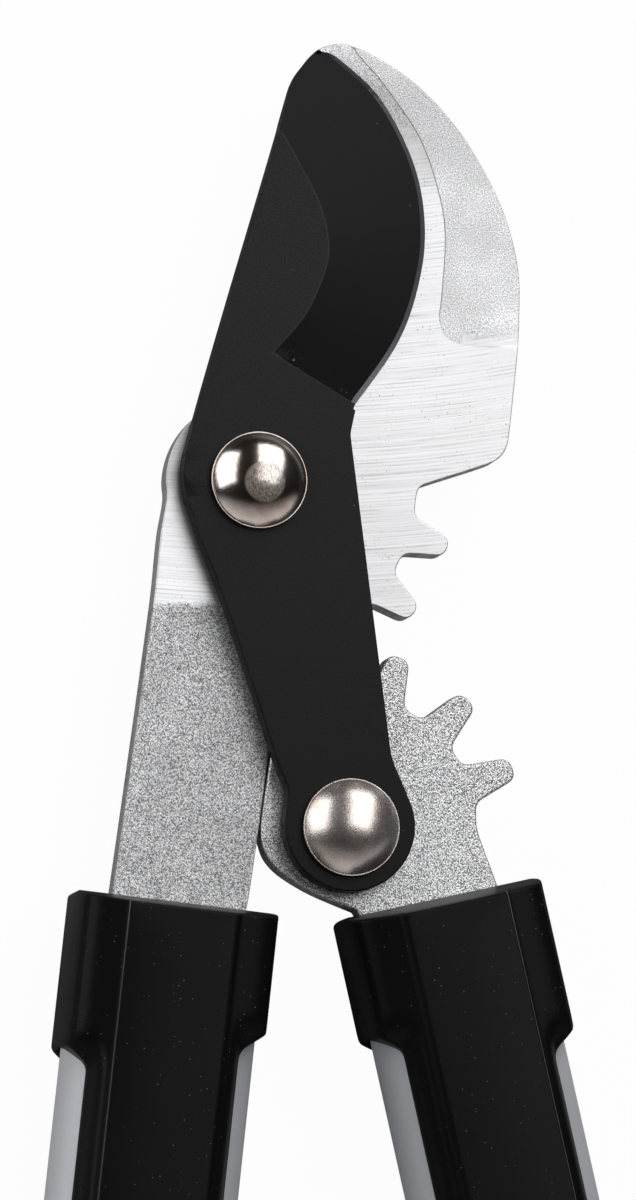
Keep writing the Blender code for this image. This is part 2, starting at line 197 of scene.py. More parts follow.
def clearOf(points, rings, margin):
    clear = inRegion(points, rings)
    for ring in rings:
        clear &= distanceTo(points, ring, closed=True) > margin
    return clear


def smoothStep(low, high, value):
    t = np.clip((value - low) / (high - low), 0, 1)
    return t * t * (3 - 2 * t)


def flatAt(height):
    # a flat face, for reliefPlate
    return lambda points: np.full(len(points), height)


class Shell:
    # vertices, faces and a material number for each face

    def __init__(self):
        self.places = []
        self.faces = []
        self.finishes = []

    def add(self, points):
        first = len(self.places)
        self.places.extend(tuple(p) for p in points)
        return list(range(first, len(self.places)))

    def face(self, corners):
        self.faces.append(tuple(corners))
        self.finishes.append(0)

    def skin(self, low, high):
        for i in range(len(low)):
            j = (i + 1) % len(low)
            self.face((low[i], low[j], high[j], high[i]))

    def fan(self, tip, ring):
        for i in range(len(ring)):
            self.face((tip, ring[i], ring[(i + 1) % len(ring)]))


def fillRegion(shell, rings, ringIndices, lines, gridStep, height):
    # triangles across a region bounded by rings, with the given lines as edges and a loose grid between them
    points, edges = [], []
    for ring in rings:
        first = len(points)
        points += [tuple(p) for p in ring]
        edges += [(first + i, first + (i + 1) % len(ring)) for i in range(len(ring))]
    ringCount = len(points)
    for line in lines:
        previous = None
        for p, ok in zip(line, clearOf(line, rings, lineMargin)):
            if ok:
                points.append(tuple(p))
                if previous is not None:
                    edges.append((previous, len(points) - 1))
            previous = len(points) - 1 if ok else None
    if gridStep:
        low, high = rings[0].min(axis=0), rings[0].max(axis=0)
        rows = np.arange(low[1] + gridStep / 2, high[1], gridStep * 0.866)
        columns = np.arange(low[0] + gridStep / 2, high[0], gridStep)
        grid = np.array([(x + (gridStep / 2 if n % 2 else 0), y) for n, y in enumerate(rows) for x in columns])
        clear = clearOf(grid, rings, gridStep * 0.4)
        for line in lines:
            clear &= distanceTo(grid, line) > gridStep * 0.4
        points += [tuple(p) for p in grid[clear]]
    flat, _, triangles, originals, _, _ = delaunay_2d_cdt([Vector(p) for p in points], edges, [], 0, 1e-5)
    flat = np.array([tuple(p) for p in flat])
    known = {}
    allRing = [i for indices in ringIndices for i in indices]
    for here, origins in enumerate(originals):
        onRing = [o for o in origins if o < ringCount]
        if onRing:
            known[here] = allRing[onRing[0]]
    new = [i for i in range(len(flat)) if i not in known]
    if new:
        known.update(zip(new, shell.add(np.column_stack([flat[new], height(flat[new])]))))
    middles = np.array([flat[list(t)].mean(axis=0) for t in triangles])
    for triangle, ok in zip(triangles, inRegion(middles, rings)):
        if ok:
            shell.face(known[i] for i in triangle)


def reliefPlate(loops, top, bottom, edge, lines=((), ()), gridSteps=(None, None), rounds=4):
    # A plate with rounded edges: loops[0] is its outline and the rest its holes. top and bottom give the
    # faces' heights at an array of points. edge is the rounding: one number, or an array for each loop.
    shell = Shell()
    lastRings = {1: [], -1: []}
    lastIndices = {1: [], -1: []}
    for number, loop in enumerate(loops):
        normals = leftNormals(loop)
        radius = np.broadcast_to(edge[number] if isinstance(edge, (list, tuple)) else edge, len(loop))
        wall = {}
        for face, height in ((1, top), (-1, bottom)):
            previous = None
            for k in range(rounds + 2):
                angle = math.pi / 2 * min(k, rounds) / rounds
                inset = radius * (1 - math.cos(angle)) + (0.07 if k > rounds else 0)
                ring = loop + normals * inset[:, None]
                heights = height(ring) - face * radius * (1 - math.sin(angle))
                indices = shell.add(np.column_stack([ring, heights]))
                if previous is None:
                    wall[face] = indices
                else:
                    shell.skin(previous, indices)
                previous = indices
            lastRings[face].append(ring)
            lastIndices[face].append(previous)
        shell.skin(wall[1], wall[-1])
    for face, height, side in ((1, top, 0), (-1, bottom, 1)):
        fillRegion(shell, lastRings[face], lastIndices[face], lines[side], gridSteps[side], height)
    return shell


def addObject(name, data):
    obj = bpy.data.objects.new(name, data)
    bpy.context.scene.collection.objects.link(obj)
    return obj


def meshPiece(name, shell, materials, place=None):
    # Turn a shell in millimetres into an object whose place is in its mesh.
    mesh = bpy.data.meshes.new(name)
    places = np.array(shell.places, float)
    if place is not None:
        places = place(places)
    mesh.from_pydata([tuple(p) for p in places * mm], [], shell.faces)
    for material in materials:
        mesh.materials.append(material)
    mesh.polygons.foreach_set("material_index", shell.finishes)
    bm = bmesh.new()
    bm.from_mesh(mesh)
    bmesh.ops.recalc_face_normals(bm, faces=bm.faces[:])
    for edge in bm.edges:
        if len(edge.link_faces) == 2:
            first, second = edge.link_faces
            edge.smooth = (first.material_index == second.material_index
                           and edge.calc_face_angle(0) < math.radians(sharpEdge))
    bm.to_mesh(mesh)
    bm.free()
    mesh.polygons.foreach_set("use_smooth", [True] * len(mesh.polygons))
    return addObject(name, mesh)


def levelRing(radius, height, count):
    # a circle of points about Z
    angles = np.arange(count) * math.tau / count
    return np.column_stack([radius * np.cos(angles), radius * np.sin(angles), np.full(count, height)])


def turnedShell(profile, segments):
    # a solid turned about Z from (radius, height) points that start and end on the axis
    shell = Shell()
    rings = [shell.add(levelRing(radius, height, 1 if radius < 1e-6 else segments))
             for radius, height in profile]
    for low, high in zip(rings, rings[1:]):
        if len(low) == 1:
            shell.fan(low[0], high)
        elif len(high) == 1:
            shell.fan(high[0], low)
        else:
            shell.skin(low, high)
    return shell


def applyModifiers(obj):
    # the object's mesh becomes what its modifiers make of it
    bpy.context.view_layer.update()
    graph = bpy.context.evaluated_depsgraph_get()
    mesh = bpy.data.meshes.new_from_object(obj.evaluated_get(graph))
    obj.modifiers.clear()
    obj.data = mesh


def finishPiece(obj, body, slot, *nodes):
    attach(obj, body)
    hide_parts(*nodes)


def addNode(tree, kind, inputs=None, **settings):
    node = tree.nodes.new(kind)
    for key, value in settings.items():
        setattr(node, key, value)
    for key, value in (inputs or {}).items():
        if isinstance(value, bpy.types.NodeSocket):
            tree.links.new(value, node.inputs[key])
        else:
            node.inputs[key].default_value = value
    return node


def parted(tree, place):
    # x, y and z
    return addNode(tree, "ShaderNodeSeparateXYZ", {0: place}).outputs


def vector(tree, x=0.0, y=0.0, z=0.0):
    return addNode(tree, "ShaderNodeCombineXYZ", {0: x, 1: y, 2: z}).outputs[0]


def calc(tree, operation, a, b=0.0, c=0.0):
    return addNode(tree, "ShaderNodeMath", {0: a, 1: b, 2: c}, operation=operation).outputs[0]


def ramped(tree, value, low, high, start=0.0, end=1.0):
    inputs = {"Value": value, "From Min": low, "From Max": high, "To Min": start, "To Max": end}
    return addNode(tree, "ShaderNodeMapRange", inputs).outputs[0]


def mixed(tree, share, first, second):
    node = addNode(tree, "ShaderNodeMix", data_type="RGBA")
    for index, value in ((0, share), (6, first), (7, second)):
        if isinstance(value, bpy.types.NodeSocket):
            tree.links.new(value, node.inputs[index])
        elif index == 0:
            node.inputs[index].default_value = value
        else:
            node.inputs[index].default_value = (*value, 1)
    return node.outputs[2]


# Camera: the photograph's own view, from a little to the left and below

view = {
    "fromLeft": 11.0, "fromBelow": 7.0, "roll": 3.3,      # degrees
    "distance": 1.2,                                       # metres from the point aimed at
    "aim": (10.39, -19.61),                                # millimetres from the top pivot
    "lens": 214.26, "sensorHeight": 36.0,
}


def makeCamera():
    left, below = math.radians(view["fromLeft"]), math.radians(view["fromBelow"])
    turn = Matrix.Rotation(-math.radians(view["roll"]), 3, "Z")
    flat = math.cos(below)
    back = turn @ Vector((-math.sin(left) * flat, -math.sin(below), math.cos(left) * flat))
    right = (-back).cross(turn @ Vector((0, 1, 0))).normalized()
    up = right.cross(-back)
    aim = topPivot + Vector((*view["aim"], 0)) * mm
    data = bpy.data.cameras.new("photoCamera")
    data.sensor_fit = "VERTICAL"
    data.sensor_height = view["sensorHeight"]
    data.lens = view["lens"]
    data.clip_start, data.clip_end = 0.05, 20
    camera = addObject("photoCamera", data)
    turned = Matrix((right, up, back)).transposed().to_4x4()
    camera.matrix_world = Matrix.Translation(aim + back * view["distance"]) @ turned
    bpy.context.scene.camera = camera


# Light: a tall soft box to the upper right, a smaller one far to the left, and a pale table below the tool

lights = {
    "rightBox": {"towards": (0.61, 0.76, 1.0), "turn": -26, "distance": 1.8, "width": 1.42, "height": 2.7,
                 "radiance": 2.9},
    "leftBox": {"towards": (-2.9, 1.6, 1.3), "turn": 12, "distance": 1.8, "width": 1.3, "height": 1.95,
                "radiance": 2.6},
}
room = {"dark": (0.012, 0.0105, 0.0095), "table": (0.76, 0.73, 0.74), "tableFrom": 40, "tableTo": 80,
        "tableWidth": (0.22, 0.5), "backdrop": 1.0,
        "litPoint": (0.01, 0.25, 0.02)}       # in metres: the soft boxes face it


def makeLights():
    target = Vector(room["litPoint"])
    for name, box in lights.items():
        outward = Vector(box["towards"]).normalized()
        across = Vector((0, 1, 0)).cross(outward).normalized()
        turn = Matrix.Rotation(math.radians(box["turn"]), 3, outward)
        across, upward = turn @ across, turn @ outward.cross(across)
        data = bpy.data.lights.new(name, "AREA")
        data.shape = "RECTANGLE"
        data.size, data.size_y = box["width"], box["height"]
        data.energy = box["radiance"] * math.pi * box["width"] * box["height"]
        turned = Matrix((across, upward, outward)).transposed().to_4x4()
        addObject(name, data).matrix_world = Matrix.Translation(target + outward * box["distance"]) @ turned
    world = bpy.data.worlds.new("studio")
    world.use_nodes = True
    tree = world.node_tree
    tree.nodes.clear()
    around = addNode(tree, "ShaderNodeTexCoord").outputs["Generated"]
    _, y, z = parted(tree, around)
    ahead = calc(tree, "MULTIPLY", y, -1.0)
    # the table is seen below an angle that is counted from straight up, towards the handles
    down = calc(tree, "ARCTAN2", ahead, z)
    table = ramped(tree, down, math.radians(room["tableFrom"]), math.radians(room["tableTo"]))
    table = calc(tree, "MULTIPLY", table, ramped(tree, ahead, *room["tableWidth"]))
    colour = mixed(tree, table, room["dark"], room["table"])
    path = addNode(tree, "ShaderNodeLightPath")
    studio = addNode(tree, "ShaderNodeBackground", {"Color": colour})
    backdrop = addNode(tree, "ShaderNodeBackground", {"Color": (room["backdrop"],) * 3 + (1,)})
    mix = addNode(tree, "ShaderNodeMixShader", {0: path.outputs["Is Camera Ray"], 1: studio.outputs[0],
                                                2: backdrop.outputs[0]})
    addNode(tree, "ShaderNodeOutputWorld", {0: mix.outputs[0]})
    bpy.context.scene.world = world


floor = {"size": 8.0, "drop": 0.0004, "colour": 0.85, "whiteness": 0.97,
         # what reflections see of it: greyer, and dark from here on to the right and beyond the tip, in metres
         "mirrorColour": 0.34, "darkColour": 0.04, "darkRight": (0.05, 0.1), "darkAhead": (0.33, 0.38)}


def makeFloor():
    material = bpy.data.materials.new("floorPaper")
    material.use_nodes = True
    tree = material.node_tree
    tree.nodes.clear()
    path = addNode(tree, "ShaderNodeLightPath").outputs
    x, y, _ = parted(tree, addNode(tree, "ShaderNodeTexCoord").outputs["Object"])
    far = calc(tree, "MAXIMUM", ramped(tree, x, *floor["darkRight"]), ramped(tree, y, *floor["darkAhead"]))
    mirrored = mixed(tree, far, (floor["mirrorColour"],) * 3, (floor["darkColour"],) * 3)
    colour = mixed(tree, path["Is Glossy Ray"], (floor["colour"],) * 3, mirrored)
    paper = addNode(tree, "ShaderNodeBsdfDiffuse", {"Color": colour})
    glow = addNode(tree, "ShaderNodeEmission")
    share = calc(tree, "MULTIPLY", path["Is Camera Ray"], floor["whiteness"])
    mix = addNode(tree, "ShaderNodeMixShader", {0: share, 1: paper.outputs[0], 2: glow.outputs[0]})
    addNode(tree, "ShaderNodeOutputMaterial", {0: mix.outputs[0]})
    half = floor["size"] / 2
    mesh = bpy.data.meshes.new("floor")
    corners = ((-half, -half), (half, -half), (half, half), (-half, half))
    mesh.from_pydata([(x, y, -floor["drop"]) for x, y in corners], [], [(0, 1, 2, 3)])
    mesh.materials.append(material)
    obj = addObject("floor", mesh)


# Materials

def paint(obj, name, values):
    # a named value for each vertex, for the materials to read
    obj.data.attributes.new(name, "FLOAT", "POINT").data.foreach_set("value", np.asarray(values, np.float32))


def painted(tree, name):
    return addNode(tree, "ShaderNodeAttribute", attribute_name=name).outputs["Fac"]


def scaled(tree, colour, factor):
    return addNode(tree, "ShaderNodeVectorMath", {0: colour, 3: factor}, operation="SCALE").outputs[0]


def shaderGroup(name, inputs, outputs=("Mask", "Height")):
    # each input is a number, or a vector where its value is one
    group = bpy.data.node_groups.new(name, "ShaderNodeTree")
    for label, value in inputs.items():
        kind = "NodeSocketVector" if isinstance(value, tuple) else "NodeSocketFloat"
        group.interface.new_socket(label, in_out="INPUT", socket_type=kind).default_value = value
    for label in outputs:
        group.interface.new_socket(label, in_out="OUTPUT", socket_type="NodeSocketFloat")
    return group, group.nodes.new("NodeGroupInput").outputs, group.nodes.new("NodeGroupOutput").inputs


def noise(tree, place, scale, detail, roughness=0.5):
    inputs = {"Vector": place, "Scale": scale, "Detail": detail, "Roughness": roughness}
    return addNode(tree, "ShaderNodeTexNoise", inputs).outputs["Fac"]


def makeGrainGroup():
    # fine blasted or moulded grain: a mask for colour and a height for bump
    group, given, out = shaderGroup("fineGrain", {"Position": (0, 0, 0), "Grain Size": 0.3, "Contrast": 1.0})
    scale = calc(group, "DIVIDE", 1000.0, given["Grain Size"])
    grain = noise(group, given["Position"], scale, 2.0, 0.6)
    spread = calc(group, "MULTIPLY_ADD", calc(group, "SUBTRACT", grain, 0.5), given["Contrast"], 0.5)
    clamped = addNode(group, "ShaderNodeClamp", {"Value": spread})
    group.links.new(clamped.outputs[0], out["Mask"])
    group.links.new(grain, out["Height"])
    return group


milling = {
    "drift": 0.6, "wander": 1.6,      # how often the lines wander, and how far, in their spacing
    "lineEdge": (0.2, 0.04),          # a line darkens between these distances from its middle
    "breaks": 60.0, "breakLevels": (0.36, 0.68, 0.05, 0.95), "breakSeed": (3.7, 4.0),
    "greyScale": (3.2, 14.0, 1.0), "greyShift": (0.0, 7.3, 0.0), "greyLevels": (0.66, 0.34, 0.0, 0.34),
}


def makeMilledGroup():
    # fine broken arcs left by a milling wheel, whose middle is at Centre
    group, given, out = shaderGroup("milledLines", {
        "Position": (0, 0, 0), "Centre": (0, 0, 0), "Spacing": 0.3, "Line Length": 12.0})
    offset = addNode(group, "ShaderNodeVectorMath", {0: given["Position"], 1: given["Centre"]},
                     operation="SUBTRACT")
    x, y, _ = parted(group, offset.outputs[0])
    squares = calc(group, "ADD", calc(group, "POWER", x, 2.0), calc(group, "POWER", y, 2.0))
    radius = calc(group, "SQRT", squares)
    across = calc(group, "DIVIDE", calc(group, "MULTIPLY", radius, 1000.0), given["Spacing"])
    along = calc(group, "DIVIDE", calc(group, "MULTIPLY", x, 1000.0), given["Line Length"])
    place = vector(group, across, along)
    phase = calc(group, "MULTIPLY_ADD", noise(group, place, milling["drift"], 1.0), milling["wander"], across)
    # one thin line in each step of the wheel, stronger and fainter along its length, and finer greys between
    nearLine = calc(group, "ABSOLUTE", calc(group, "SUBTRACT", calc(group, "FRACT", phase), 0.5))
    thin = ramped(group, nearLine, *milling["lineEdge"])
    step, seed = milling["breakSeed"]
    broken = vector(group, calc(group, "MULTIPLY", calc(group, "FLOOR", phase), step),
                    calc(group, "MULTIPLY", along, milling["breaks"]), seed)
    shown = ramped(group, noise(group, broken, 1.0, 2.0), *milling["breakLevels"])
    closer = addNode(group, "ShaderNodeVectorMath", {
        0: place, 1: milling["greyScale"], 2: milling["greyShift"]}, operation="MULTIPLY_ADD")
    finer = noise(group, closer.outputs[0], 1.0, 0.0)
    grey = ramped(group, finer, *milling["greyLevels"])
    lines = calc(group, "MAXIMUM", calc(group, "MULTIPLY", thin, shown), grey)
    group.links.new(calc(group, "SUBTRACT", 1.0, lines), out["Mask"])
    group.links.new(finer, out["Height"])
    return group


def makeSpeckGroup():
    # sparse specks of dust or tiny pits
    group, given, out = shaderGroup(
        "dustSpecks", {"Position": (0, 0, 0), "Cell": 3.0, "Speck Size": 0.2, "Share": 0.3}, ("Mask",))
    scale = calc(group, "DIVIDE", 1000.0, given["Cell"])
    cells = addNode(group, "ShaderNodeTexVoronoi", {"Vector": given["Position"], "Scale": scale}).outputs
    reach = calc(group, "DIVIDE", given["Speck Size"], given["Cell"])
    near = calc(group, "LESS_THAN", cells["Distance"], reach)
    tint = addNode(group, "ShaderNodeSeparateColor", {0: cells["Color"]}).outputs
    chosen = calc(group, "LESS_THAN", tint[0], given["Share"])
    group.links.new(calc(group, "MULTIPLY", calc(group, "MULTIPLY", near, chosen), tint[1]), out["Mask"])
    return group


def newMaterial(name, metallic, specular=0.5):
    material = bpy.data.materials.new(name)
    material.use_nodes = True
    tree = material.node_tree
    shader = tree.nodes["Principled BSDF"].inputs
    shader["Metallic"].default_value = metallic
    shader["Specular IOR Level"].default_value = specular
    return material, tree, shader, addNode(tree, "ShaderNodeTexCoord").outputs["Object"]


def grainOn(tree, position, grain):
    # grain is its size in millimetres and its contrast
    inputs = {"Position": position, "Grain Size": grain[0], "Contrast": grain[1]}
    return addNode(tree, "ShaderNodeGroup", inputs, node_tree=groups["grain"]).outputs


def specksOn(tree, position, specks):
    # specks are the size of their cells and their own in millimetres, and the share of cells that have one
    inputs = {"Position": position, "Cell": specks[0], "Speck Size": specks[1], "Share": specks[2]}
    return addNode(tree, "ShaderNodeGroup", inputs, node_tree=groups["specks"]).outputs["Mask"]


def ragged(tree, mask, amount, value):
    # a value whose borders are broken up by a mask
    return calc(tree, "MULTIPLY_ADD", calc(tree, "SUBTRACT", mask, 0.5), amount, value)


def feed(tree, shader, colour, roughness, height, depth):
    tree.links.new(colour, shader["Base Color"])
    tree.links.new(roughness, shader["Roughness"])
    bump = addNode(tree, "ShaderNodeBump", {"Height": height, "Distance": depth * mm, "Strength": 1.0})
    tree.links.new(bump.outputs[0], shader["Normal"])


def feedGrain(tree, shader, colour, grain, look):
    # roughness and bump follow the grain
    rough = ramped(tree, grain["Mask"], 0, 1, *look["roughness"])
    feed(tree, shader, colour, rough, grain["Height"], look["bump"])


groups = {}
finishes = {}


def makeCoating():
    # the blade's baked black coat, lighter along the line of the grind
    look = {"dark": (0.002, 0.002, 0.0021), "light": (0.019, 0.019, 0.0192), "grain": (0.3, 3.4),
            "bump": 0.03, "roughness": (0.48, 0.62), "specular": 0.2, "lighterAlongGrind": (0.03, 0.03, 0.03),
            "specks": (2.6, 0.13, 0.2), "speck": (0.12, 0.12, 0.12),
            # painted shade: its share of the colour at the lower pivot, and how far above the top one it is
            # full, in metres
            "shadedLowShare": 0.15, "fullAbove": 0.04}
    material, tree, shader, position = newMaterial("blackCoating", 0.0, look["specular"])
    grain = grainOn(tree, position, look["grain"])
    colour = mixed(tree, grain["Mask"], look["dark"], look["light"])
    # painted shade: the coat's colour is darkened towards the lower pivot
    colour = scaled(tree, colour, ramped(tree, parted(tree, position)[1], bottomPivot.y,
                                         topPivot.y + look["fullAbove"], look["shadedLowShare"], 1.0))
    colour = mixed(tree, painted(tree, "lighterAlongGrind"), colour, look["lighterAlongGrind"])
    colour = mixed(tree, specksOn(tree, position, look["specks"]), colour, look["speck"])
    feedGrain(tree, shader, colour, grain, look)
    return material


def makeGroundZone():
    # the ground face of the blade, coated over: smoother and darker, with chips of bare steel by its border
    look = {"dark": (0.0016, 0.0016, 0.0017), "light": (0.0034, 0.0034, 0.0036), "grain": (0.8, 1.5),
            "bump": 0.004, "roughness": (0.33, 0.42), "specular": 0.095, "lighterAlongGrind": (0.03, 0.03, 0.03),
            "chips": (0.9, 0.2, 0.5), "chip": (0.22, 0.22, 0.22),
            "specks": (2.4, 0.14, 0.2), "speck": (0.10, 0.10, 0.10)}
    material, tree, shader, position = newMaterial("coatedGrind", 0.0, look["specular"])
    grain = grainOn(tree, position, look["grain"])
    colour = mixed(tree, grain["Mask"], look["dark"], look["light"])
    colour = mixed(tree, painted(tree, "lighterAlongGrind"), colour, look["lighterAlongGrind"])
    chips = calc(tree, "MULTIPLY", specksOn(tree, position, look["chips"]), painted(tree, "chipped"))
    colour = mixed(tree, chips, colour, look["chip"])
    colour = mixed(tree, specksOn(tree, position, look["specks"]), colour, look["speck"])
    feedGrain(tree, shader, colour, grain, look)
    return material


def makeBareEdge():
    # the honed strip along the cutting edge, still coated near the tip
    look = {"dark": (0.30, 0.295, 0.32), "light": (0.52, 0.51, 0.55), "grain": (0.35, 1.8), "bump": 0.006,
            "roughness": (0.3, 0.42), "upperShade": 0.42,
            "coated": (0.05, 0.05, 0.06), "chips": (1.5, 3.0), "chipping": 0.3, "coatEnd": (0.2, 0.3)}
    material, tree, shader, position = newMaterial("honedEdge", 1.0)
    grain = grainOn(tree, position, look["grain"])
    # this value is 0 at the tip, 0.5 where the coat has gone and 1 towards the heel, where the steel is
    # brightest: the bare steel above the heel is darkened by painted shade
    bareAndLit = painted(tree, "bareAndLit")
    metal = mixed(tree, grain["Mask"], look["dark"], look["light"])
    metal = scaled(tree, metal, ramped(tree, bareAndLit, 0.5, 1.0, look["upperShade"], 1.0))
    chipped = ragged(tree, grainOn(tree, position, look["chips"])["Mask"], look["chipping"], bareAndLit)
    colour = mixed(tree, ramped(tree, chipped, *look["coatEnd"]), look["coated"], metal)
    feedGrain(tree, shader, colour, grain, look)
    return material


hookLook = {
    "millDark": (0.40, 0.40, 0.405), "millLight": (0.655, 0.655, 0.665), "millRough": 0.44, "millBump": 0.001,
    "blastDark": (0.17, 0.17, 0.175), "blastLight": (0.92, 0.92, 0.93), "blastRough": 0.5, "blastBump": 0.12,
    "fineDark": (0.31, 0.31, 0.32), "fineLight": (0.93, 0.93, 0.94), "fineBump": 0.03,
    "stepShadeAndPits": (0.05, 0.045, 0.04), "dullest": 0.53,
    # grain sizes in millimetres, each with its contrast
    "grain": (0.2, 5.4), "fineGrain": (0.22, 3.0), "cloud": (9.0, 1.6), "patch": (1.6, 1.4),
    # pits in the milled face, in upright patches
    "pits": (0.55, 0.12, 0.5), "pitted": (3.5, 4.0), "pittedScale": (1.0, 0.4, 1.0), "pitDark": 0.8,
    # the middle of the milling wheel, in metres from the top pivot, and its lines in millimetres
    "wheel": (0.0138, 0.2396), "spacing": 0.66, "lineLength": 500.0,
    # from the shank's tone, which is low, to the hook's; where it is low, the colour is scaled for painted
    # light and shade, and the milled face is painted lighter
    "fineTones": (0.6, 0.9), "milledTones": (0.55, 0.95), "paintedLightAtLowTone": 0.97, "shankMilledPaintedLight": 1.24,
    # how the clouds act on the blasted steel and where it is dull
    "cloudy": (0.25, 0.75, 0.88, 1.05), "dullClouds": (0.2, 0.8, 0.6, 1.0),
    # how the patches break up the blasted face's border
    "broken": 0.5, "border": (0.35, 0.65),
}
leverLook = dict(hookLook, blastDark=(0.14, 0.14, 0.145), blastBump=0.13, grain=(0.24, 6.0), paintedLightAtLowTone=1.5)


def makeArmSteel(name, look):
    # steel that is milled where the piece's "blasted" value is 0 and grainy where it is 1
    material, tree, shader, position = newMaterial(name, 1.0)
    grain, fineGrain, cloud, patch = (grainOn(tree, position, look[part])
                                      for part in ("grain", "fineGrain", "cloud", "patch"))
    blasted = ragged(tree, patch["Mask"], look["broken"], painted(tree, "blasted"))
    blasted = ramped(tree, blasted, *look["border"])
    grainAndLightTone = painted(tree, "grainAndLightTone")
    # dark grains stand out more where the face is darker
    rough = mixed(tree, grain["Mask"], look["blastDark"], look["blastLight"])
    fine = mixed(tree, fineGrain["Mask"], look["fineDark"], look["fineLight"])
    rough = mixed(tree, ramped(tree, grainAndLightTone, *look["fineTones"]), rough, fine)
    rough = scaled(tree, rough, ramped(tree, cloud["Mask"], *look["cloudy"]))
    # painted light and shade: the colour is scaled where the tone is low, lighter on the lever's lower end
    rough = scaled(tree, rough, ramped(tree, grainAndLightTone, 0, 1, look["paintedLightAtLowTone"], 1.0))
    wheel = (topPivot.x + look["wheel"][0], topPivot.y + look["wheel"][1], 0)
    lines = addNode(tree, "ShaderNodeGroup", {
        "Position": position, "Centre": wheel, "Spacing": look["spacing"], "Line Length": look["lineLength"],
    }, node_tree=groups["milled"]).outputs
    milled = mixed(tree, lines["Mask"], look["millDark"], look["millLight"])
    upright = addNode(tree, "ShaderNodeMapping", {"Vector": position, "Scale": look["pittedScale"]}).outputs[0]
    pits = calc(tree, "MULTIPLY", specksOn(tree, position, look["pits"]),
                grainOn(tree, upright, look["pitted"])["Mask"])
    milled = mixed(tree, calc(tree, "MULTIPLY", pits, look["pitDark"]), milled, look["stepShadeAndPits"])
    # painted light: the milled face is painted lighter where the tone is low, on the shank
    milled = scaled(tree, milled, ramped(tree, grainAndLightTone, *look["milledTones"], look["shankMilledPaintedLight"], 1.0))
    steel = mixed(tree, blasted, milled, rough)
    dulled = calc(tree, "MULTIPLY", painted(tree, "dull"), ramped(tree, cloud["Mask"], *look["dullClouds"]))
    steel = scaled(tree, steel, ramped(tree, dulled, 0, 1, 1.0, look["dullest"]))
    # painted shade: a dark line along the recess's step, where shade falls
    steel = mixed(tree, painted(tree, "stepShadeAndPits"), steel, look["stepShadeAndPits"])
    depth = ramped(tree, grainAndLightTone, *look["fineTones"], look["blastBump"], look["fineBump"])
    grainHeight = calc(tree, "MULTIPLY", calc(tree, "MULTIPLY", grain["Height"], blasted), depth)
    lineHeight = calc(tree, "MULTIPLY", lines["Height"], calc(tree, "SUBTRACT", 1.0, blasted))
    height = calc(tree, "MULTIPLY_ADD", lineHeight, look["millBump"], grainHeight)
    feed(tree, shader, steel, ramped(tree, blasted, 0, 1, look["millRough"], look["blastRough"]), height, 1.0)
    return material


mirrorLook = {
    "dark": (0.54, 0.44, 0.37), "light": (0.78, 0.74, 0.71), "wearAndHighlight": (0.16, 0.13, 0.11), "cloud": (5.0, 2.2),
    "grain": (0.28, 1.6), "roughness": (0.13, 0.19), "bump": 0.012, "speckle": 0.85, "brightest": 1.05,
    "metallic": 1.0,
    # the hammered spot's slanted grooves, and how much rougher and less metallic it is
    "hatch": (0.17, 5.0), "hatchTurn": 0.85, "hatchScale": (1.0, 0.28, 1.0), "hatchDark": 0.8,
    "hatchBump": 0.014, "rougher": 0.03, "lessMetallic": -0.42,
}
satinLook = dict(
    mirrorLook, dark=(0.56, 0.47, 0.42), light=(0.84, 0.8, 0.77), wearAndHighlight=(0.2, 0.17, 0.15), cloud=(5.5, 2.2),
    grain=(0.3, 1.6), roughness=(0.24, 0.31), bump=0.019, speckle=0.76, metallic=0.92)


def makeNickel(name, look):
    # warm rivet metal, hammered where the piece's "peened" value is 1
    material, tree, shader, position = newMaterial(name, look["metallic"])
    fine = grainOn(tree, position, look["grain"])
    colour = mixed(tree, grainOn(tree, position, look["cloud"])["Mask"], look["dark"], look["light"])
    colour = scaled(tree, colour, ramped(tree, fine["Mask"], 0, 1, look["speckle"], look["brightest"]))
    slanted = addNode(tree, "ShaderNodeMapping", {
        "Vector": position, "Rotation": (0, 0, look["hatchTurn"]), "Scale": look["hatchScale"]}).outputs[0]
    hatch = grainOn(tree, slanted, look["hatch"])
    peened = painted(tree, "peened")
    grooves = calc(tree, "MULTIPLY", peened, calc(tree, "SUBTRACT", 1.0, hatch["Mask"]))
    colour = mixed(tree, calc(tree, "MULTIPLY", grooves, look["hatchDark"]), colour, look["wearAndHighlight"])
    roughness = calc(tree, "MULTIPLY_ADD", peened, look["rougher"],
                     ramped(tree, fine["Mask"], 0, 1, *look["roughness"]))
    metallic = calc(tree, "MULTIPLY_ADD", peened, look["lessMetallic"], look["metallic"])
    tree.links.new(metallic, shader["Metallic"])
    height = calc(tree, "MULTIPLY", calc(tree, "MULTIPLY", hatch["Height"], peened), look["hatchBump"])
    height = calc(tree, "MULTIPLY_ADD", fine["Height"], look["bump"], height)
    feed(tree, shader, colour, roughness, height, 1.0)
    return material


collarLook = {
    "dark": (0.0028, 0.0028, 0.0029), "light": (0.0044, 0.0044, 0.0045), "cloud": (12.0, 1.3),
    "grain": (0.5, 1.5), "bump": 0.004, "roughness": (0.35, 0.42), "specular": 0.085,
    "specks": (1.0, 0.095, 0.7), "speck": (0.13, 0.13, 0.13), "wearAndHighlight": (0.3, 0.3, 0.31),
}
capLook = dict(collarLook, roughness=(0.42, 0.52))
coreLook = dict(collarLook, dark=(0.03, 0.03, 0.03), light=(0.05, 0.05, 0.05))
rubberLook = dict(
    collarLook, dark=(0.011, 0.011, 0.0115), light=(0.017, 0.017, 0.0175), grain=(0.7, 1.5), bump=0.03,
    roughness=(0.6, 0.75), specular=0.3)


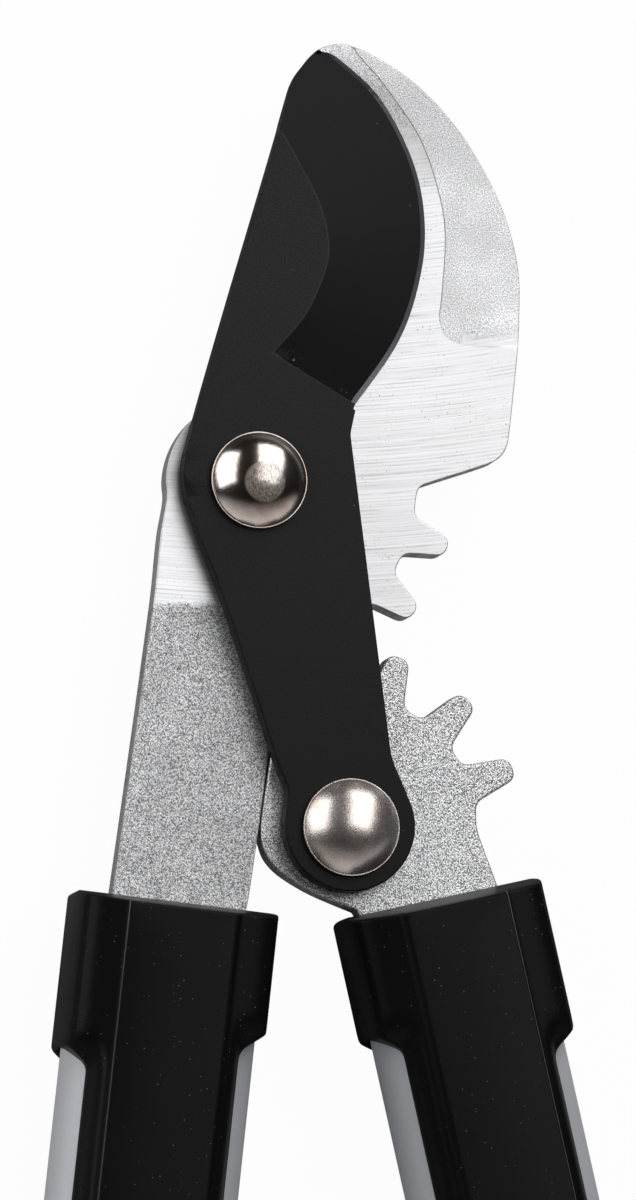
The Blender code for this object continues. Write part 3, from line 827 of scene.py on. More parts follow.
def makePlastic(name, look):
    # moulded black plastic with a little dust on it, and a painted highlight where a piece marks a ridge
    material, tree, shader, position = newMaterial(name, 0.0, look["specular"])
    colour = mixed(tree, grainOn(tree, position, look["cloud"])["Mask"], look["dark"], look["light"])
    colour = mixed(tree, specksOn(tree, position, look["specks"]), colour, look["speck"])
    # painted highlight: a light line along the collar panel's ridge
    colour = mixed(tree, painted(tree, "wearAndHighlight"), colour, look["wearAndHighlight"])
    feedGrain(tree, shader, colour, grainOn(tree, position, look["grain"]), look)
    return material


metalLooks = {
    "satinAluminium": {"dark": (0.475, 0.49, 0.52), "light": (0.535, 0.55, 0.58), "grain": (0.4, 1.4),
                       "roughness": (0.5, 0.6), "bump": 0.002, "metallic": 0.35},
    "washerSteel": {"dark": (0.42, 0.42, 0.43), "light": (0.62, 0.62, 0.63), "grain": (0.5, 1.6),
                    "roughness": (0.3, 0.42), "bump": 0.008, "metallic": 1.0},
    "bushBronze": {"dark": (0.42, 0.27, 0.13), "light": (0.58, 0.39, 0.2), "grain": (0.5, 1.6),
                   "roughness": (0.32, 0.45), "bump": 0.008, "metallic": 1.0},
}


def makeMetal(name):
    look = metalLooks[name]
    material, tree, shader, position = newMaterial(name, look["metallic"])
    grain = grainOn(tree, position, look["grain"])
    feedGrain(tree, shader, mixed(tree, grain["Mask"], look["dark"], look["light"]), grain, look)
    return material


def makeMaterials():
    groups["grain"] = makeGrainGroup()
    groups["milled"] = makeMilledGroup()
    groups["specks"] = makeSpeckGroup()
    finishes["coating"] = makeCoating()
    finishes["grind"] = makeGroundZone()
    finishes["edge"] = makeBareEdge()
    finishes["hookSteel"] = makeArmSteel("hookSteel", hookLook)
    finishes["leverSteel"] = makeArmSteel("leverSteel", leverLook)
    finishes["mirrorNickel"] = makeNickel("mirrorNickel", mirrorLook)
    finishes["satinNickel"] = makeNickel("satinNickel", satinLook)
    finishes["collar"] = makePlastic("collarPlastic", collarLook)
    finishes["cap"] = makePlastic("capPlastic", capLook)
    finishes["core"] = makePlastic("corePlastic", coreLook)
    finishes["rubber"] = makePlastic("gripRubber", rubberLook)
    finishes["aluminium"] = makeMetal("satinAluminium")
    finishes["steel"] = makeMetal("washerSteel")
    finishes["bronze"] = makeMetal("bushBronze")


# Blade

blade = {
    "step": 0.9, "fineStep": 0.7, "gridStep": 2.0, "holeRound": 0.15, "thinEdge": 0.015,
    "spineRound": 0.35, "spineFade": 4,     # the spine's rounding ends where the grind comes to the edge
    "grindCorner": (3.6, 21.5),        # where the grind's arc turns into its lower border; from the top pivot
    "arcBeyond": (6, 25),              # the arc is drawn on past the corner by these lengths
    "borderWall": 0.5, "honedWidth": 0.95,
    "grindRows": (-0.18, 0.18), "borderRows": (0.32, 0.5),     # lines of points beside the grind and border
    # how far from the tip the edge gets bare and then painted lighter, and how wide the lighter line along the
    # grind and the chipped line are
    "bareFrom": (1, 15), "litFrom": (20, 56), "lighterAlongGrind": (0.0, 0.16), "chipped": (0.3, 2.2),
}


def makeBlade():
    low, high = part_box("cutting_blade")
    back, front = low.z / mm, high.z / mm
    middle = sorted({round(v.co.z / mm, 2) for v in frame["nodes"]["cutting_blade"].data.vertices})[1]
    backLoops = [refined(loop, blade["step"]) for loop in levelLoops("cutting_blade", back)]
    frontLoop = levelLoops("cutting_blade", front)[0]
    outline = backLoops[0]
    apart = distanceTo(frontLoop, outline, closed=True) > 0.1
    start = next(i for i in range(len(apart)) if apart[i] and not apart[i - 1])
    grindLine = np.roll(frontLoop, 1 - start, axis=0)
    grindLine = grindLine[:1 + next(k for k in range(2, len(apart)) if not np.roll(apart, 1 - start)[k])]
    if grindLine[0, 1] < grindLine[-1, 1]:
        grindLine = grindLine[::-1]
    grindFine = splineThrough(grindLine, blade["fineStep"])
    bend = int(np.argmin(np.linalg.norm(grindFine - fromPivot([blade["grindCorner"]])[0], axis=1)))
    arc, border = grindFine[:bend + 1], grindFine[bend:]
    onward = (arc[-1] - arc[-4]) / np.linalg.norm(arc[-1] - arc[-4])
    arcOn = np.vstack([arc] + [arc[-1] + onward * length for length in blade["arcBeyond"]])
    # the honed strip is of one width from the tip to the heel
    tip, heel = int(np.argmax(outline[:, 1])), int(np.argmin(np.linalg.norm(outline - grindFine[-1], axis=1)))
    edgeLine = np.roll(outline, -heel, axis=0)[:(tip - heel) % len(outline) + 1][::-1]
    honed = (edgeLine - leftNormals(edgeLine, closed=False) * blade["honedWidth"])[1:]
    insideHoned = np.vstack([honed, honed[-1] - (60, 0), honed[0] - (60, 0)])

    def isHoned(points):
        beyond = ~inside(points, insideHoned) & ~inside(points, frontLoop)
        return beyond & (distanceTo(points, honed) < 1.2)

    def top(points):
        toArc, toHoned, toBorder = (distanceTo(points, line) for line in (arcOn, honed, border))
        toEdge = distanceTo(points, outline, closed=True)
        share = toArc / np.maximum(toArc + toHoned, 1e-9) * smoothStep(-0.02, blade["borderWall"], toBorder)
        strip = toHoned / np.maximum(toHoned + toEdge, 1e-9)
        ground = front - (front - middle) * share
        heights = np.where(isHoned(points), middle - (middle - back - blade["thinEdge"]) * strip, ground)
        flat = inside(points, frontLoop) | (distanceTo(points, frontLoop, closed=True) < 0.06)
        return np.where(flat, front, heights)

    toFront = distanceTo(outline, frontLoop, closed=True)
    radius = np.clip(toFront * -blade["spineFade"] + blade["spineRound"], 0.0, blade["spineRound"])
    edges = [radius] + [np.full(len(loop), blade["holeRound"]) for loop in backLoops[1:]]
    rows = [line + leftNormals(line, closed=False) * offset
            for line, offsets in ((grindFine, blade["grindRows"]), (border, blade["borderRows"]))
            for offset in offsets]
    shell = reliefPlate(backLoops, top, flatAt(back), edges, lines=([grindFine, honed] + rows, ()),
                        gridSteps=(blade["gridStep"], None))
    places = np.array(shell.places)
    middles = np.array([places[list(face)].mean(axis=0) for face in shell.faces])
    facesUp = middles[:, 2] > back + levelMargin
    onBevel = isHoned(middles[:, :2])
    inGround = ~onBevel & ~inside(middles[:, :2], frontLoop) & inside(middles[:, :2], outline)
    # coat 0, grind 1 and honed strip 2
    shell.finishes = np.where(facesUp & inGround, 1, np.where(facesUp & onBevel, 2, 0)).tolist()
    obj = meshPiece("bladeBar", shell, [finishes["coating"], finishes["grind"], finishes["edge"]])
    isTop = places[:, 2] > back + levelMargin
    plan = places[:, :2]
    down = outline[tip, 1] - plan[:, 1]
    bareAndLit, lit = smoothStep(*blade["bareFrom"], down), smoothStep(*blade["litFrom"], down)
    # painted light: the honed strip's value rises again towards the heel, where it is painted brightest
    paint(obj, "bareAndLit", 0.5 * bareAndLit + 0.5 * lit)
    paint(obj, "lighterAlongGrind", isTop * (1 - smoothStep(*blade["lighterAlongGrind"], distanceTo(plan, grindFine))))
    paint(obj, "chipped", isTop * (1 - smoothStep(*blade["chipped"], distanceTo(plan, border))))
    finishPiece(obj, "blade", "blade_coating", "cutting_blade")


# Hook arm

hook = {
    "edge": 0.2, "step": 0.8, "lineStep": 0.7, "gridSteps": (2.0, 4.0),
    "recess": 0.28,                # how much lower the blasted outer face lies
    "stepLine": [                  # down the hook's middle, then out to its edge; counted from the top pivot
        (20.5, 75.4), (22.6, 72.3), (25.6, 68.7), (28.6, 64.2), (31.5, 59.4), (33.4, 54.5), (34.7, 49.1),
        (35.4, 44.3), (35.3, 39.3), (34.6, 33.9), (34.1, 30.4), (33.6, 27.3), (34.2, 24.5), (36.1, 23.1),
        (38.5, 22.6), (41.2, 22.2), (48.5, 22.2),
    ],
    "outside": [(60, 22.2), (60, 80), (20.5, 80)],      # closes the recess, beyond the plate's edge
    "stepRows": (-0.16, -0.05, 0.05, 0.16),             # lines of points across the step
    # to the right the recess gets shallower below a height, and its grain fades towards its lower end
    "shallower": 0.75, "shallowFrom": (35.5, 44), "shallowBelow": 27,
    "grainRight": 37, "grainFrom": (21.0, 27.0),
    "shankRight": 2, "milledEnd": (-22.5, -17.0),       # the shank's milled face fades between these heights
    "tipGrain": 0.75, "tipFrom": (52, 64),              # the hook's tip is partly blasted
    "hookTone": 0.95, "tipDarker": 0.1, "shankTones": ((-75, -45, -20), (0.15, 0.5, 0.6)),
    "dullOver": (46, 58, 66, 75), "dullInRecess": 0.5,
    # the painted shade along the step: its width, and its strength up the hook
    "stepShadeWidth": (0.06, 0.16), "stepShadeShares": ((22, 28, 40, 76), (0.0, 0.55, 0.8, 1.0)),
}


def makeHookArm():
    low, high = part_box("hook_arm")
    loops = [refined(loop, hook["step"]) for loop in levelLoops("hook_arm", high.z / mm)]
    line = splineThrough(fromPivot(hook["stepLine"]), hook["lineStep"])
    normals = leftNormals(line, closed=False)       # the line runs down, so its left is the outer side
    region = np.vstack([line, fromPivot(hook["outside"])])
    pivotX, pivotY = topPivot.x / mm, topPivot.y / mm

    def top(points):
        shallow = smoothStep(*hook["shallowFrom"], points[:, 0] - pivotX)
        shallow *= points[:, 1] - pivotY < hook["shallowBelow"]
        return high.z / mm - hook["recess"] * inside(points, region) * (1 - hook["shallower"] * shallow)

    rows = [line + normals * offset for offset in hook["stepRows"]]
    shell = reliefPlate(loops, top, flatAt(low.z / mm), hook["edge"], lines=(rows, ()),
                        gridSteps=hook["gridSteps"])
    obj = meshPiece("hookPlate", shell, [finishes["hookSteel"]])
    plan = np.array(shell.places)[:, :2]
    up, across = plan[:, 1] - pivotY, plan[:, 0] - pivotX
    shank = (1 - smoothStep(*hook["milledEnd"], up)) * (across < hook["shankRight"])
    grainShare = np.where(across > hook["grainRight"], smoothStep(*hook["grainFrom"], up), 1.0)
    inRecess = inside(plan, region) * grainShare
    tipGrain = hook["tipGrain"] * smoothStep(*hook["tipFrom"], up)
    paint(obj, "blasted", np.maximum(np.maximum(inRecess, shank), tipGrain))
    # the tone picks the grain and carries painted light: the shank's low tone lifts its milled face lighter
    paint(obj, "grainAndLightTone", np.where((up > 0) | (across > hook["shankRight"]),
                                hook["hookTone"] - hook["tipDarker"] * tipGrain,
                                np.interp(up, *hook["shankTones"])))
    fadeIn, full, fadeOut, gone = hook["dullOver"]
    dull = smoothStep(fadeIn, full, up) * (1 - smoothStep(fadeOut, gone, up))
    paint(obj, "dull", dull * (1 - hook["dullInRecess"] * inRecess))
    # painted shade: a dark line along the step, stronger towards the tip
    stepShadeAndPits = 1 - smoothStep(*hook["stepShadeWidth"], distanceTo(plan, line))
    paint(obj, "stepShadeAndPits", stepShadeAndPits * np.interp(up, *hook["stepShadeShares"]))
    finishPiece(obj, "hook_side", "hook_steel", "hook_arm")


# Gear lever

# the lever's tone falls towards its lower end, where its colour is painted lighter
lever = {"edge": 0.45, "step": 0.7, "gridSteps": (3.0, None), "tones": ((-80, -62, -45), (0.35, 0.5, 0.58))}


def makeGearLever():
    low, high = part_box("gear_lever")
    loops = [refined(loop, lever["step"]) for loop in levelLoops("gear_lever", high.z / mm)]
    shell = reliefPlate(loops, flatAt(high.z / mm), flatAt(low.z / mm), lever["edge"],
                        gridSteps=lever["gridSteps"])
    obj = meshPiece("leverPlate", shell, [finishes["leverSteel"]])
    plan = np.array(shell.places)[:, :2]
    paint(obj, "blasted", np.ones(len(plan)))
    paint(obj, "grainAndLightTone", np.interp(plan[:, 1] - topPivot.y / mm, *lever["tones"]))
    paint(obj, "dull", np.zeros(len(plan)))
    finishPiece(obj, "lever_side", "gear_lever_steel", "gear_lever")


# Rivets and washers

rivets = {
    "headRadius": 8.15, "headHeight": 4.8, "rim": 0.7, "crownShare": 0.97, "headRings": 60,
    "bead": 0.11, "beadLift": 0.03, "beadAngles": (2.4, 1.9, 1.4, 0.9, 0.4, 0.0), "headEdge": 0.12,
    "pinRadius": 5.0, "tailRadius": 7.0, "tailLength": 2.2, "tailWall": 0.3, "tailEdge": 0.1, "tailPower": 0.7,
    "tailRings": 12, "around": 144,
    "spot": (3.15, 3.6), "spotOffset": (0.25, -0.7),       # the hammered spot fades between these radii
    "washerPlay": 0.15, "washerChamfer": 0.2, "washerAround": 128,
}


def aboutPivot(pivot):
    # a function that moves places round an axis at 0, 0 to a pivot
    return lambda places: places + np.array([pivot.x / mm, pivot.y / mm, 0])


def makeRivet(name, node, pivot, material, spotted):
    low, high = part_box(node)
    top, foot = high.z / mm, low.z / mm
    head = top - rivets["headHeight"]
    radius, rim, bead = rivets["headRadius"], rivets["rim"], rivets["bead"]
    crown = rivets["headHeight"] - rim
    ball = (radius * radius + crown * crown) / (2 * crown)
    profile = [(0.0, top)]
    for k in range(1, rivets["headRings"] + 1):
        r = radius * k / rivets["headRings"] * rivets["crownShare"]
        profile.append((r, top - ball + math.sqrt(ball * ball - r * r)))
    for angle in rivets["beadAngles"]:
        profile.append((radius + bead * (math.cos(angle) - 1),
                        head + rim + rivets["beadLift"] + bead * math.sin(angle)))
    tail, tailRadius, tailWall = foot + rivets["tailLength"], rivets["tailRadius"], rivets["tailWall"]
    headEdge, tailEdge = rivets["headEdge"], rivets["tailEdge"]
    profile += [(radius, head + headEdge), (radius - headEdge, head), (rivets["pinRadius"], head),
                (rivets["pinRadius"], tail), (tailRadius - tailEdge, tail), (tailRadius, tail - tailEdge)]
    last = rivets["tailRings"]
    for k in range(1, last + 1):
        angle = math.pi / 2 * k / last
        profile.append((tailRadius * math.cos(angle) ** rivets["tailPower"] if k < last else 0.0,
                        tail - tailWall - (rivets["tailLength"] - tailWall) * math.sin(angle)))
    shell = turnedShell(profile, rivets["around"])
    places = np.array(shell.places)
    spot = np.zeros(len(places))
    if spotted:
        away = np.linalg.norm(places[:, :2] - rivets["spotOffset"], axis=1)
        spot = (1 - smoothStep(*rivets["spot"], away)) * (places[:, 2] > head)
    obj = meshPiece(name, shell, [material], place=aboutPivot(pivot))
    paint(obj, "peened", spot)
    finishPiece(obj, "blade", "rivet_nickel", node)


def makeWasher(name, node, pivot):
    low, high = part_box(node)
    outer = (high.x - low.x) / mm / 2
    inner, chamfer = rivets["pinRadius"] + rivets["washerPlay"], rivets["washerChamfer"]
    bottom, top = low.z / mm, high.z / mm
    shell = Shell()
    rings = [shell.add(levelRing(radius, height, rivets["washerAround"]))
             for radius, height in ((inner, bottom), (outer - chamfer, bottom), (outer, bottom + chamfer),
                                    (outer, top - chamfer), (outer - chamfer, top), (inner, top))]
    for ring, following in zip(rings, rings[1:] + rings[:1]):
        shell.skin(ring, following)
    obj = meshPiece(name, shell, [finishes["steel"]], place=aboutPivot(pivot))
    finishPiece(obj, "blade", "washer_steel", node)


# Handles: places on them are (outward, down the handle, up), counted from the middle of the collar's mouth

handles = {
    "lean": 9.4,                        # degrees
    # each collar's ridge gets a painted highlight of this strength
    "left": {"side": -1, "mouth": (-17.0, -69.0), "body": "hook_side", "ridgeHighlight": 0.4},
    "right": {"side": 1, "mouth": (27.5, -70.3), "body": "lever_side", "ridgeHighlight": 1.0},
    "tubeWide": 16.1, "tubeDeep": 10.0, "wall": 1.6, "tubeStart": 7.0, "tubeEnd": 540.0, "gap": 0.3,
    "tubeAround": 112, "tubeRings": 40,
}


def onHandle(key):
    # a function that puts handle places into the frame
    handle = handles[key]
    angle = math.radians(handles["lean"])
    mouth = fromPivot([handle["mouth"]])[0]
    half = topPivot.z / mm

    def place(points):
        outward, down, up = points[:, 0], points[:, 1], points[:, 2]
        x = mouth[0] + handle["side"] * (outward * math.cos(angle) + down * math.sin(angle))
        y = mouth[1] + outward * math.sin(angle) - down * math.cos(angle)
        return np.column_stack([x, y, half + up])

    return place


collar = {
    "half": 17.15, "outerLength": 26.1, "innerLength": 20.7, "shoulder": 3.5,
    "tongueHalf": 12.6, "tongueEnd": 96.0,
    "tongueSide": [(10.4, 12.3), (11.2, 11.2), (11.9, 9.0), (12.6, 7.2), (17.3, 6.0)],
    "tongueFrom": -1.5, "tongueFull": 2.0,       # the tongue's sides begin before and end after the shoulder
    "panelHalf": 9.25, "panelHeight": 13.4, "panelStep": 0.7,
    "mouthFlat": 3.0, "mouthStart": 0.5, "mouthDrop": 1.6, "mouthRound": 0.4,
    "creaseRows": (-1.0, -0.6, -0.3, 0, 0.3, 0.6, 1.0, 1.5, 3.5),     # lines of points, in mouthRound
    "shoulderLine": [(13.6, 11.6), (15.4, 10.6), (16.2, 9.3), (16.7, 7.2), (17.05, 4.4), (17.2, 1.5)],
    "edge": 0.45, "slotHalf": 14.6, "slotDeep": 2.8, "slotReach": 5, "seatEnd": 110, "seatAround": 120,
    # rows of points down the handle, near the mouth and beyond it: start, end and step; the middle line
    # begins at the row of this number, and the mouth's crease has a step and a margin of its own
    "nearRows": (0.7, 4.4, 0.3), "farRows": (5, 96.0, 1.6), "middleFrom": 15, "creaseStep": 0.7,
    "sideMargin": 0.6,
    "highlightFade": ((6, 16), (1.0, 0.6)),               # the painted highlight on the panel's outer ridge fades down the handle
}


def roundedPolygon(corners, step=0.7):
    # corners are (x, y, radius)
    points = []
    for i, (x, y, radius) in enumerate(corners):
        here = np.array((x, y))
        before = np.array(corners[i - 1][:2]) - here
        after = np.array(corners[(i + 1) % len(corners)][:2]) - here
        before, after = before / np.linalg.norm(before), after / np.linalg.norm(after)
        turn = math.pi - math.acos(float(np.clip(before @ after, -1, 1)))
        reach = radius * math.tan(turn / 2)
        centre = here + (before + after) / np.linalg.norm(before + after) * radius / math.cos(turn / 2)
        start, end = here + before * reach - centre, here + after * reach - centre
        pieces = max(3, math.ceil(turn / math.radians(12)))
        for k in range(pieces + 1):
            share = k / pieces
            spoke = start * math.sin((1 - share) * turn) + end * math.sin(share * turn)
            points.append(centre + spoke / math.sin(turn))
    dense = []
    for p, q in zip(points, points[1:] + points[:1]):
        pieces = max(1, round(float(np.linalg.norm(q - p)) / step))
        dense += [p + (q - p) * k / pieces for k in range(pieces)]
    return np.array(dense)


def collarProfile(outer):
    # (distance from the middle, height) across one half of the collar: panel, step down, round shoulder
    edge, high, step = collar["panelHalf"], collar["panelHeight"], collar["panelStep"]
    if outer:
        start = [(0, high), (edge - 0.35, high), (edge - 0.12, high - 0.06), (edge, high - 0.2)]
    else:
        start = [(0, high), (edge - 1.3, high), (edge - 0.9, high - 0.04), (edge - 0.45, high - 0.16),
                 (edge - 0.1, high - 0.38)]
    start += [(edge + 0.1, high - step + 0.12), (edge + 0.3, high - step)]
    shoulder = splineThrough([start[-1], *collar["shoulderLine"]], 0.4)
    return np.vstack([start, shoulder[1:]])


def makeCollar(key):
    handle = handles[key]
    wide, narrow = collar["half"], collar["tongueHalf"]
    outer, inner, begin = collar["outerLength"], collar["innerLength"], collar["mouthStart"]
    plan = roundedPolygon([
        (-wide, begin, 1.2), (wide, begin, 1.2), (wide, outer, 1.0), (narrow, outer + collar["shoulder"], 2.5),
        (narrow, collar["tongueEnd"], 6.0), (-narrow, collar["tongueEnd"], 6.0),
        (-narrow, inner + collar["shoulder"], 2.5), (-wide, inner, 1.0),
    ])
    profiles = {1: collarProfile(True), -1: collarProfile(False)}
    tongueLine = splineThrough(collar["tongueSide"], 0.4)
    tongues = {side: np.vstack([line[line[:, 0] < 10], tongueLine]) for side, line in profiles.items()}
    slope = (collar["panelHeight"] - collar["mouthFlat"]) / collar["mouthDrop"]
    softness = collar["mouthRound"]

    def heightAcross(lines, points):
        away = np.abs(points)
        outside, within = (np.interp(away, lines[side][:, 0], lines[side][:, 1]) for side in (1, -1))
        return np.where(points > 0, outside, within)

    def top(points):
        # the tongue's sides fall steeply to the tube
        x, y = points[:, 0], points[:, 1]
        onTongue = smoothStep(collar["tongueFrom"], collar["shoulder"] + collar["tongueFull"],
                              y - np.where(x > 0, outer, inner))
        across = heightAcross(profiles, x) * (1 - onTongue) + heightAcross(tongues, x) * onTongue
        mouth = collar["mouthFlat"] + (y - begin) * slope
        # the lower of the two surfaces, with their meeting rounded
        blend = np.clip(0.5 + (mouth - across) / (2 * softness * slope), 0, 1)
        return mouth * (1 - blend) + across * blend - softness * slope * blend * (1 - blend)

    def bottom(points):
        return -top(points)

    lengths = np.concatenate([np.arange(*collar[rows]) for rows in ("nearRows", "farRows")])
    lines = [np.column_stack([np.full(len(lengths), side * row), lengths])
             for side in (-1, 1) for row in profiles[side][1:, 0] if row < wide - collar["sideMargin"]]
    middle = lengths[collar["middleFrom"]:]
    lines.append(np.column_stack([np.zeros(len(middle)), middle]))
    crease = np.arange(collar["creaseStep"] - wide, wide - collar["sideMargin"], collar["creaseStep"])
    depth = begin + (heightAcross(profiles, crease) - collar["mouthFlat"]) / slope
    lines += [np.column_stack([crease, depth + offset * softness]) for offset in collar["creaseRows"]]
    shell = reliefPlate([plan], top, bottom, collar["edge"], lines=(lines, lines))
    obj = meshPiece(key + "CollarBody", shell, [finishes["collar"]], place=onHandle(key))
    outward, down = np.array(shell.places)[:, :2].T
    onRidge = (np.abs(outward - collar["panelHalf"]) < 0.02) & (down > begin + collar["mouthDrop"])
    # painted highlight: a light line along the panel's outer ridge
    paint(obj, "wearAndHighlight", onRidge * handle["ridgeHighlight"] * np.interp(down, *collar["highlightFade"]))
    gap, slotHalf, slotDeep = handles["gap"], collar["slotHalf"], collar["slotDeep"]
    seat = squaredOval(handles["tubeWide"] + gap, handles["tubeDeep"] + gap, collar["seatAround"], 2.0)
    slot = np.array([(-slotHalf, -slotDeep), (slotHalf, -slotDeep),
                     (slotHalf, slotDeep), (-slotHalf, slotDeep)])
    cutPiece(obj, rod(seat, handles["tubeStart"] - gap, collar["seatEnd"]), key)
    cutPiece(obj, rod(slot, -collar["slotReach"], handles["tubeStart"] + collar["slotReach"]), key)
    finishPiece(obj, handle["body"], "collar_plastic", key + "_collar")


def acrossHandle(section, down):
    # a ring of handle places from rows of (outward, up)
    return np.column_stack([section[:, 0], np.full(len(section), down), section[:, 1]])


def rod(section, start, end):
    shell = Shell()
    rings = [shell.add(acrossHandle(section, down)) for down in (start, end)]
    shell.skin(*rings)
    for ring in rings:
        shell.face(ring)
    return shell


def cutPiece(obj, shell, key):
    cutter = meshPiece("cutter", shell, [finishes["collar"]], place=onHandle(key))
    modifier = obj.modifiers.new("cut", "BOOLEAN")
    modifier.solver = "EXACT"
    modifier.object = cutter
    applyModifiers(obj)
    bpy.data.objects.remove(cutter)


def treeInputs(tree, values):
    # number inputs for a modifier's tree: their values by identifier
    identified = {}
    for label, value in values.items():
        socket = tree.interface.new_socket(label, in_out="INPUT", socket_type="NodeSocketFloat")
        identified[socket.identifier] = float(value)
    return identified


def endTree(tree, geometry, material):
    tree.interface.new_socket("Geometry", in_out="OUTPUT", socket_type="NodeSocketGeometry")
    real = addNode(tree, "GeometryNodeRealizeInstances", {"Geometry": geometry})
    dressed = addNode(tree, "GeometryNodeSetMaterial", {"Geometry": real.outputs[0], "Material": material})
    tree.links.new(dressed.outputs[0], tree.nodes.new("NodeGroupOutput").inputs[0])


def runTree(obj, tree, values):
    modifier = obj.modifiers.new("tree", "NODES")
    modifier.node_group = tree
    for identifier, value in values.items():
        modifier[identifier] = value
    applyModifiers(obj)


def makeTube(key):
    # an oval line swept down the handle by a node tree, then given its wall
    tree = bpy.data.node_groups.new(key + "TubeSweep", "GeometryNodeTree")
    values = treeInputs(tree, {"Half Width": handles["tubeWide"], "Half Depth": handles["tubeDeep"],
                               "Start": handles["tubeStart"], "End": handles["tubeEnd"]})
    given = tree.nodes.new("NodeGroupInput").outputs
    line = addNode(tree, "GeometryNodeCurvePrimitiveLine", {
        "Start": vector(tree, z=given["Start"]), "End": vector(tree, z=given["End"])})
    pieces = addNode(tree, "GeometryNodeResampleCurve", {
        "Curve": line.outputs[0], "Count": handles["tubeRings"]})
    circle = addNode(tree, "GeometryNodeCurvePrimitiveCircle", {
        "Resolution": handles["tubeAround"], "Radius": 1.0})
    oval = addNode(tree, "GeometryNodeTransform", {
        "Geometry": circle.outputs[0], "Scale": vector(tree, given["Half Width"], given["Half Depth"], 1.0)})
    sweep = addNode(tree, "GeometryNodeCurveToMesh", {
        "Curve": pieces.outputs[0], "Profile Curve": oval.outputs[0], "Fill Caps": False})
    endTree(tree, sweep.outputs[0], finishes["aluminium"])
    obj = addObject(key + "TubeWall", bpy.data.meshes.new(key + "TubeWall"))
    runTree(obj, tree, values)
    place = onHandle(key)
    # the sweep ran along Z, and a handle's order is outward, down, up
    places = np.array([v.co for v in obj.data.vertices], float)[:, [0, 2, 1]]
    obj.data.vertices.foreach_set("co", (place(places) * mm).ravel())
    bm = bmesh.new()
    bm.from_mesh(obj.data)
    bmesh.ops.remove_doubles(bm, verts=bm.verts[:], dist=1e-6)
    bmesh.ops.recalc_face_normals(bm, faces=bm.faces[:])
    face = bm.faces[:][0]
    axisPoint = Vector(place(np.array([[0, places[:, 1].mean(), 0]]))[0]) * mm
    if face.normal.dot(face.calc_center_median() - axisPoint) < 0:
        bmesh.ops.reverse_faces(bm, faces=bm.faces[:])
    bm.to_mesh(obj.data)
    bm.free()
    solid = obj.modifiers.new("wall", "SOLIDIFY")
    solid.thickness, solid.offset = handles["wall"] * mm, -1
    applyModifiers(obj)
    obj.data.shade_smooth()
    obj.data.set_sharp_from_angle(angle=math.radians(sharpEdge))
    finishPiece(obj, handles[key]["body"], "tube_aluminium", key + "_tube")


grip = {
    "start": 360.0, "end": 545.0, "squareness": 2.3, "around": 96, "boreGap": 0.05,
    # share of the length, half width, half depth
    "stations": [
        (0.00, 17.2, 11.2), (0.015, 18.2, 12.1), (0.06, 18.2, 12.4), (0.20, 18.1, 12.8), (0.50, 19.5, 13.3),
        (0.80, 18.3, 12.9), (0.92, 20.2, 13.35), (0.985, 20.5, 13.4), (1.00, 20.1, 13.0),
    ],
    "rings": 380, "ribs": 13, "ribStart": 0.26, "ribEnd": 0.72, "ribDepth": 0.8,
}


def squaredOval(wide, deep, count, power):
    # an oval at power 2, and squarer above it
    angles = np.arange(count) * math.tau / count
    return np.column_stack([np.sign(wave) * np.abs(wave) ** (2 / power) * half
                            for wave, half in ((np.cos(angles), wide), (np.sin(angles), deep))])


def makeRibTree():
    # sinks grooves into the sleeve's outer skin, so that ribs stand between them; the handle runs along Y
    tree = bpy.data.node_groups.new("gripRibs", "GeometryNodeTree")
    tree.interface.new_socket("Geometry", in_out="INPUT", socket_type="NodeSocketGeometry")
    length = grip["end"] - grip["start"]
    values = treeInputs(tree, {
        "Rib Start": (grip["start"] + grip["ribStart"] * length) * mm,
        "Rib End": (grip["start"] + grip["ribEnd"] * length) * mm,
        "Rib Count": grip["ribs"], "Rib Depth": grip["ribDepth"] * mm,
    })
    given = tree.nodes.new("NodeGroupInput").outputs
    x, y, z = parted(tree, addNode(tree, "GeometryNodeInputPosition").outputs[0])
    skin = addNode(tree, "GeometryNodeInputNamedAttribute", {"Name": "outerSkin"}, data_type="FLOAT")
    span = calc(tree, "SUBTRACT", given["Rib End"], given["Rib Start"])
    along = calc(tree, "DIVIDE", calc(tree, "SUBTRACT", y, given["Rib Start"]), span)
    ribbed = calc(tree, "MULTIPLY", calc(tree, "GREATER_THAN", along, 0.0),
                  calc(tree, "LESS_THAN", along, 1.0))
    share = calc(tree, "FRACT", calc(tree, "MULTIPLY", along, given["Rib Count"]))
    wave = calc(tree, "COSINE", calc(tree, "MULTIPLY", calc(tree, "SUBTRACT", share, 0.5), math.tau))
    groove = calc(tree, "POWER", calc(tree, "MAXIMUM", wave, 0.0), 2.0)
    depth = calc(tree, "MULTIPLY", calc(tree, "MULTIPLY", groove, ribbed), given["Rib Depth"])
    depth = calc(tree, "MULTIPLY", depth, skin.outputs["Attribute"])
    outward = addNode(tree, "ShaderNodeVectorMath", {0: vector(tree, x, z=z)}, operation="NORMALIZE")
    inward = scaled(tree, outward.outputs[0], calc(tree, "MULTIPLY", depth, -1.0))
    moved = addNode(tree, "GeometryNodeSetPosition", {"Geometry": given["Geometry"], "Offset": inward})
    endTree(tree, moved.outputs[0], finishes["rubber"])
    return tree, values


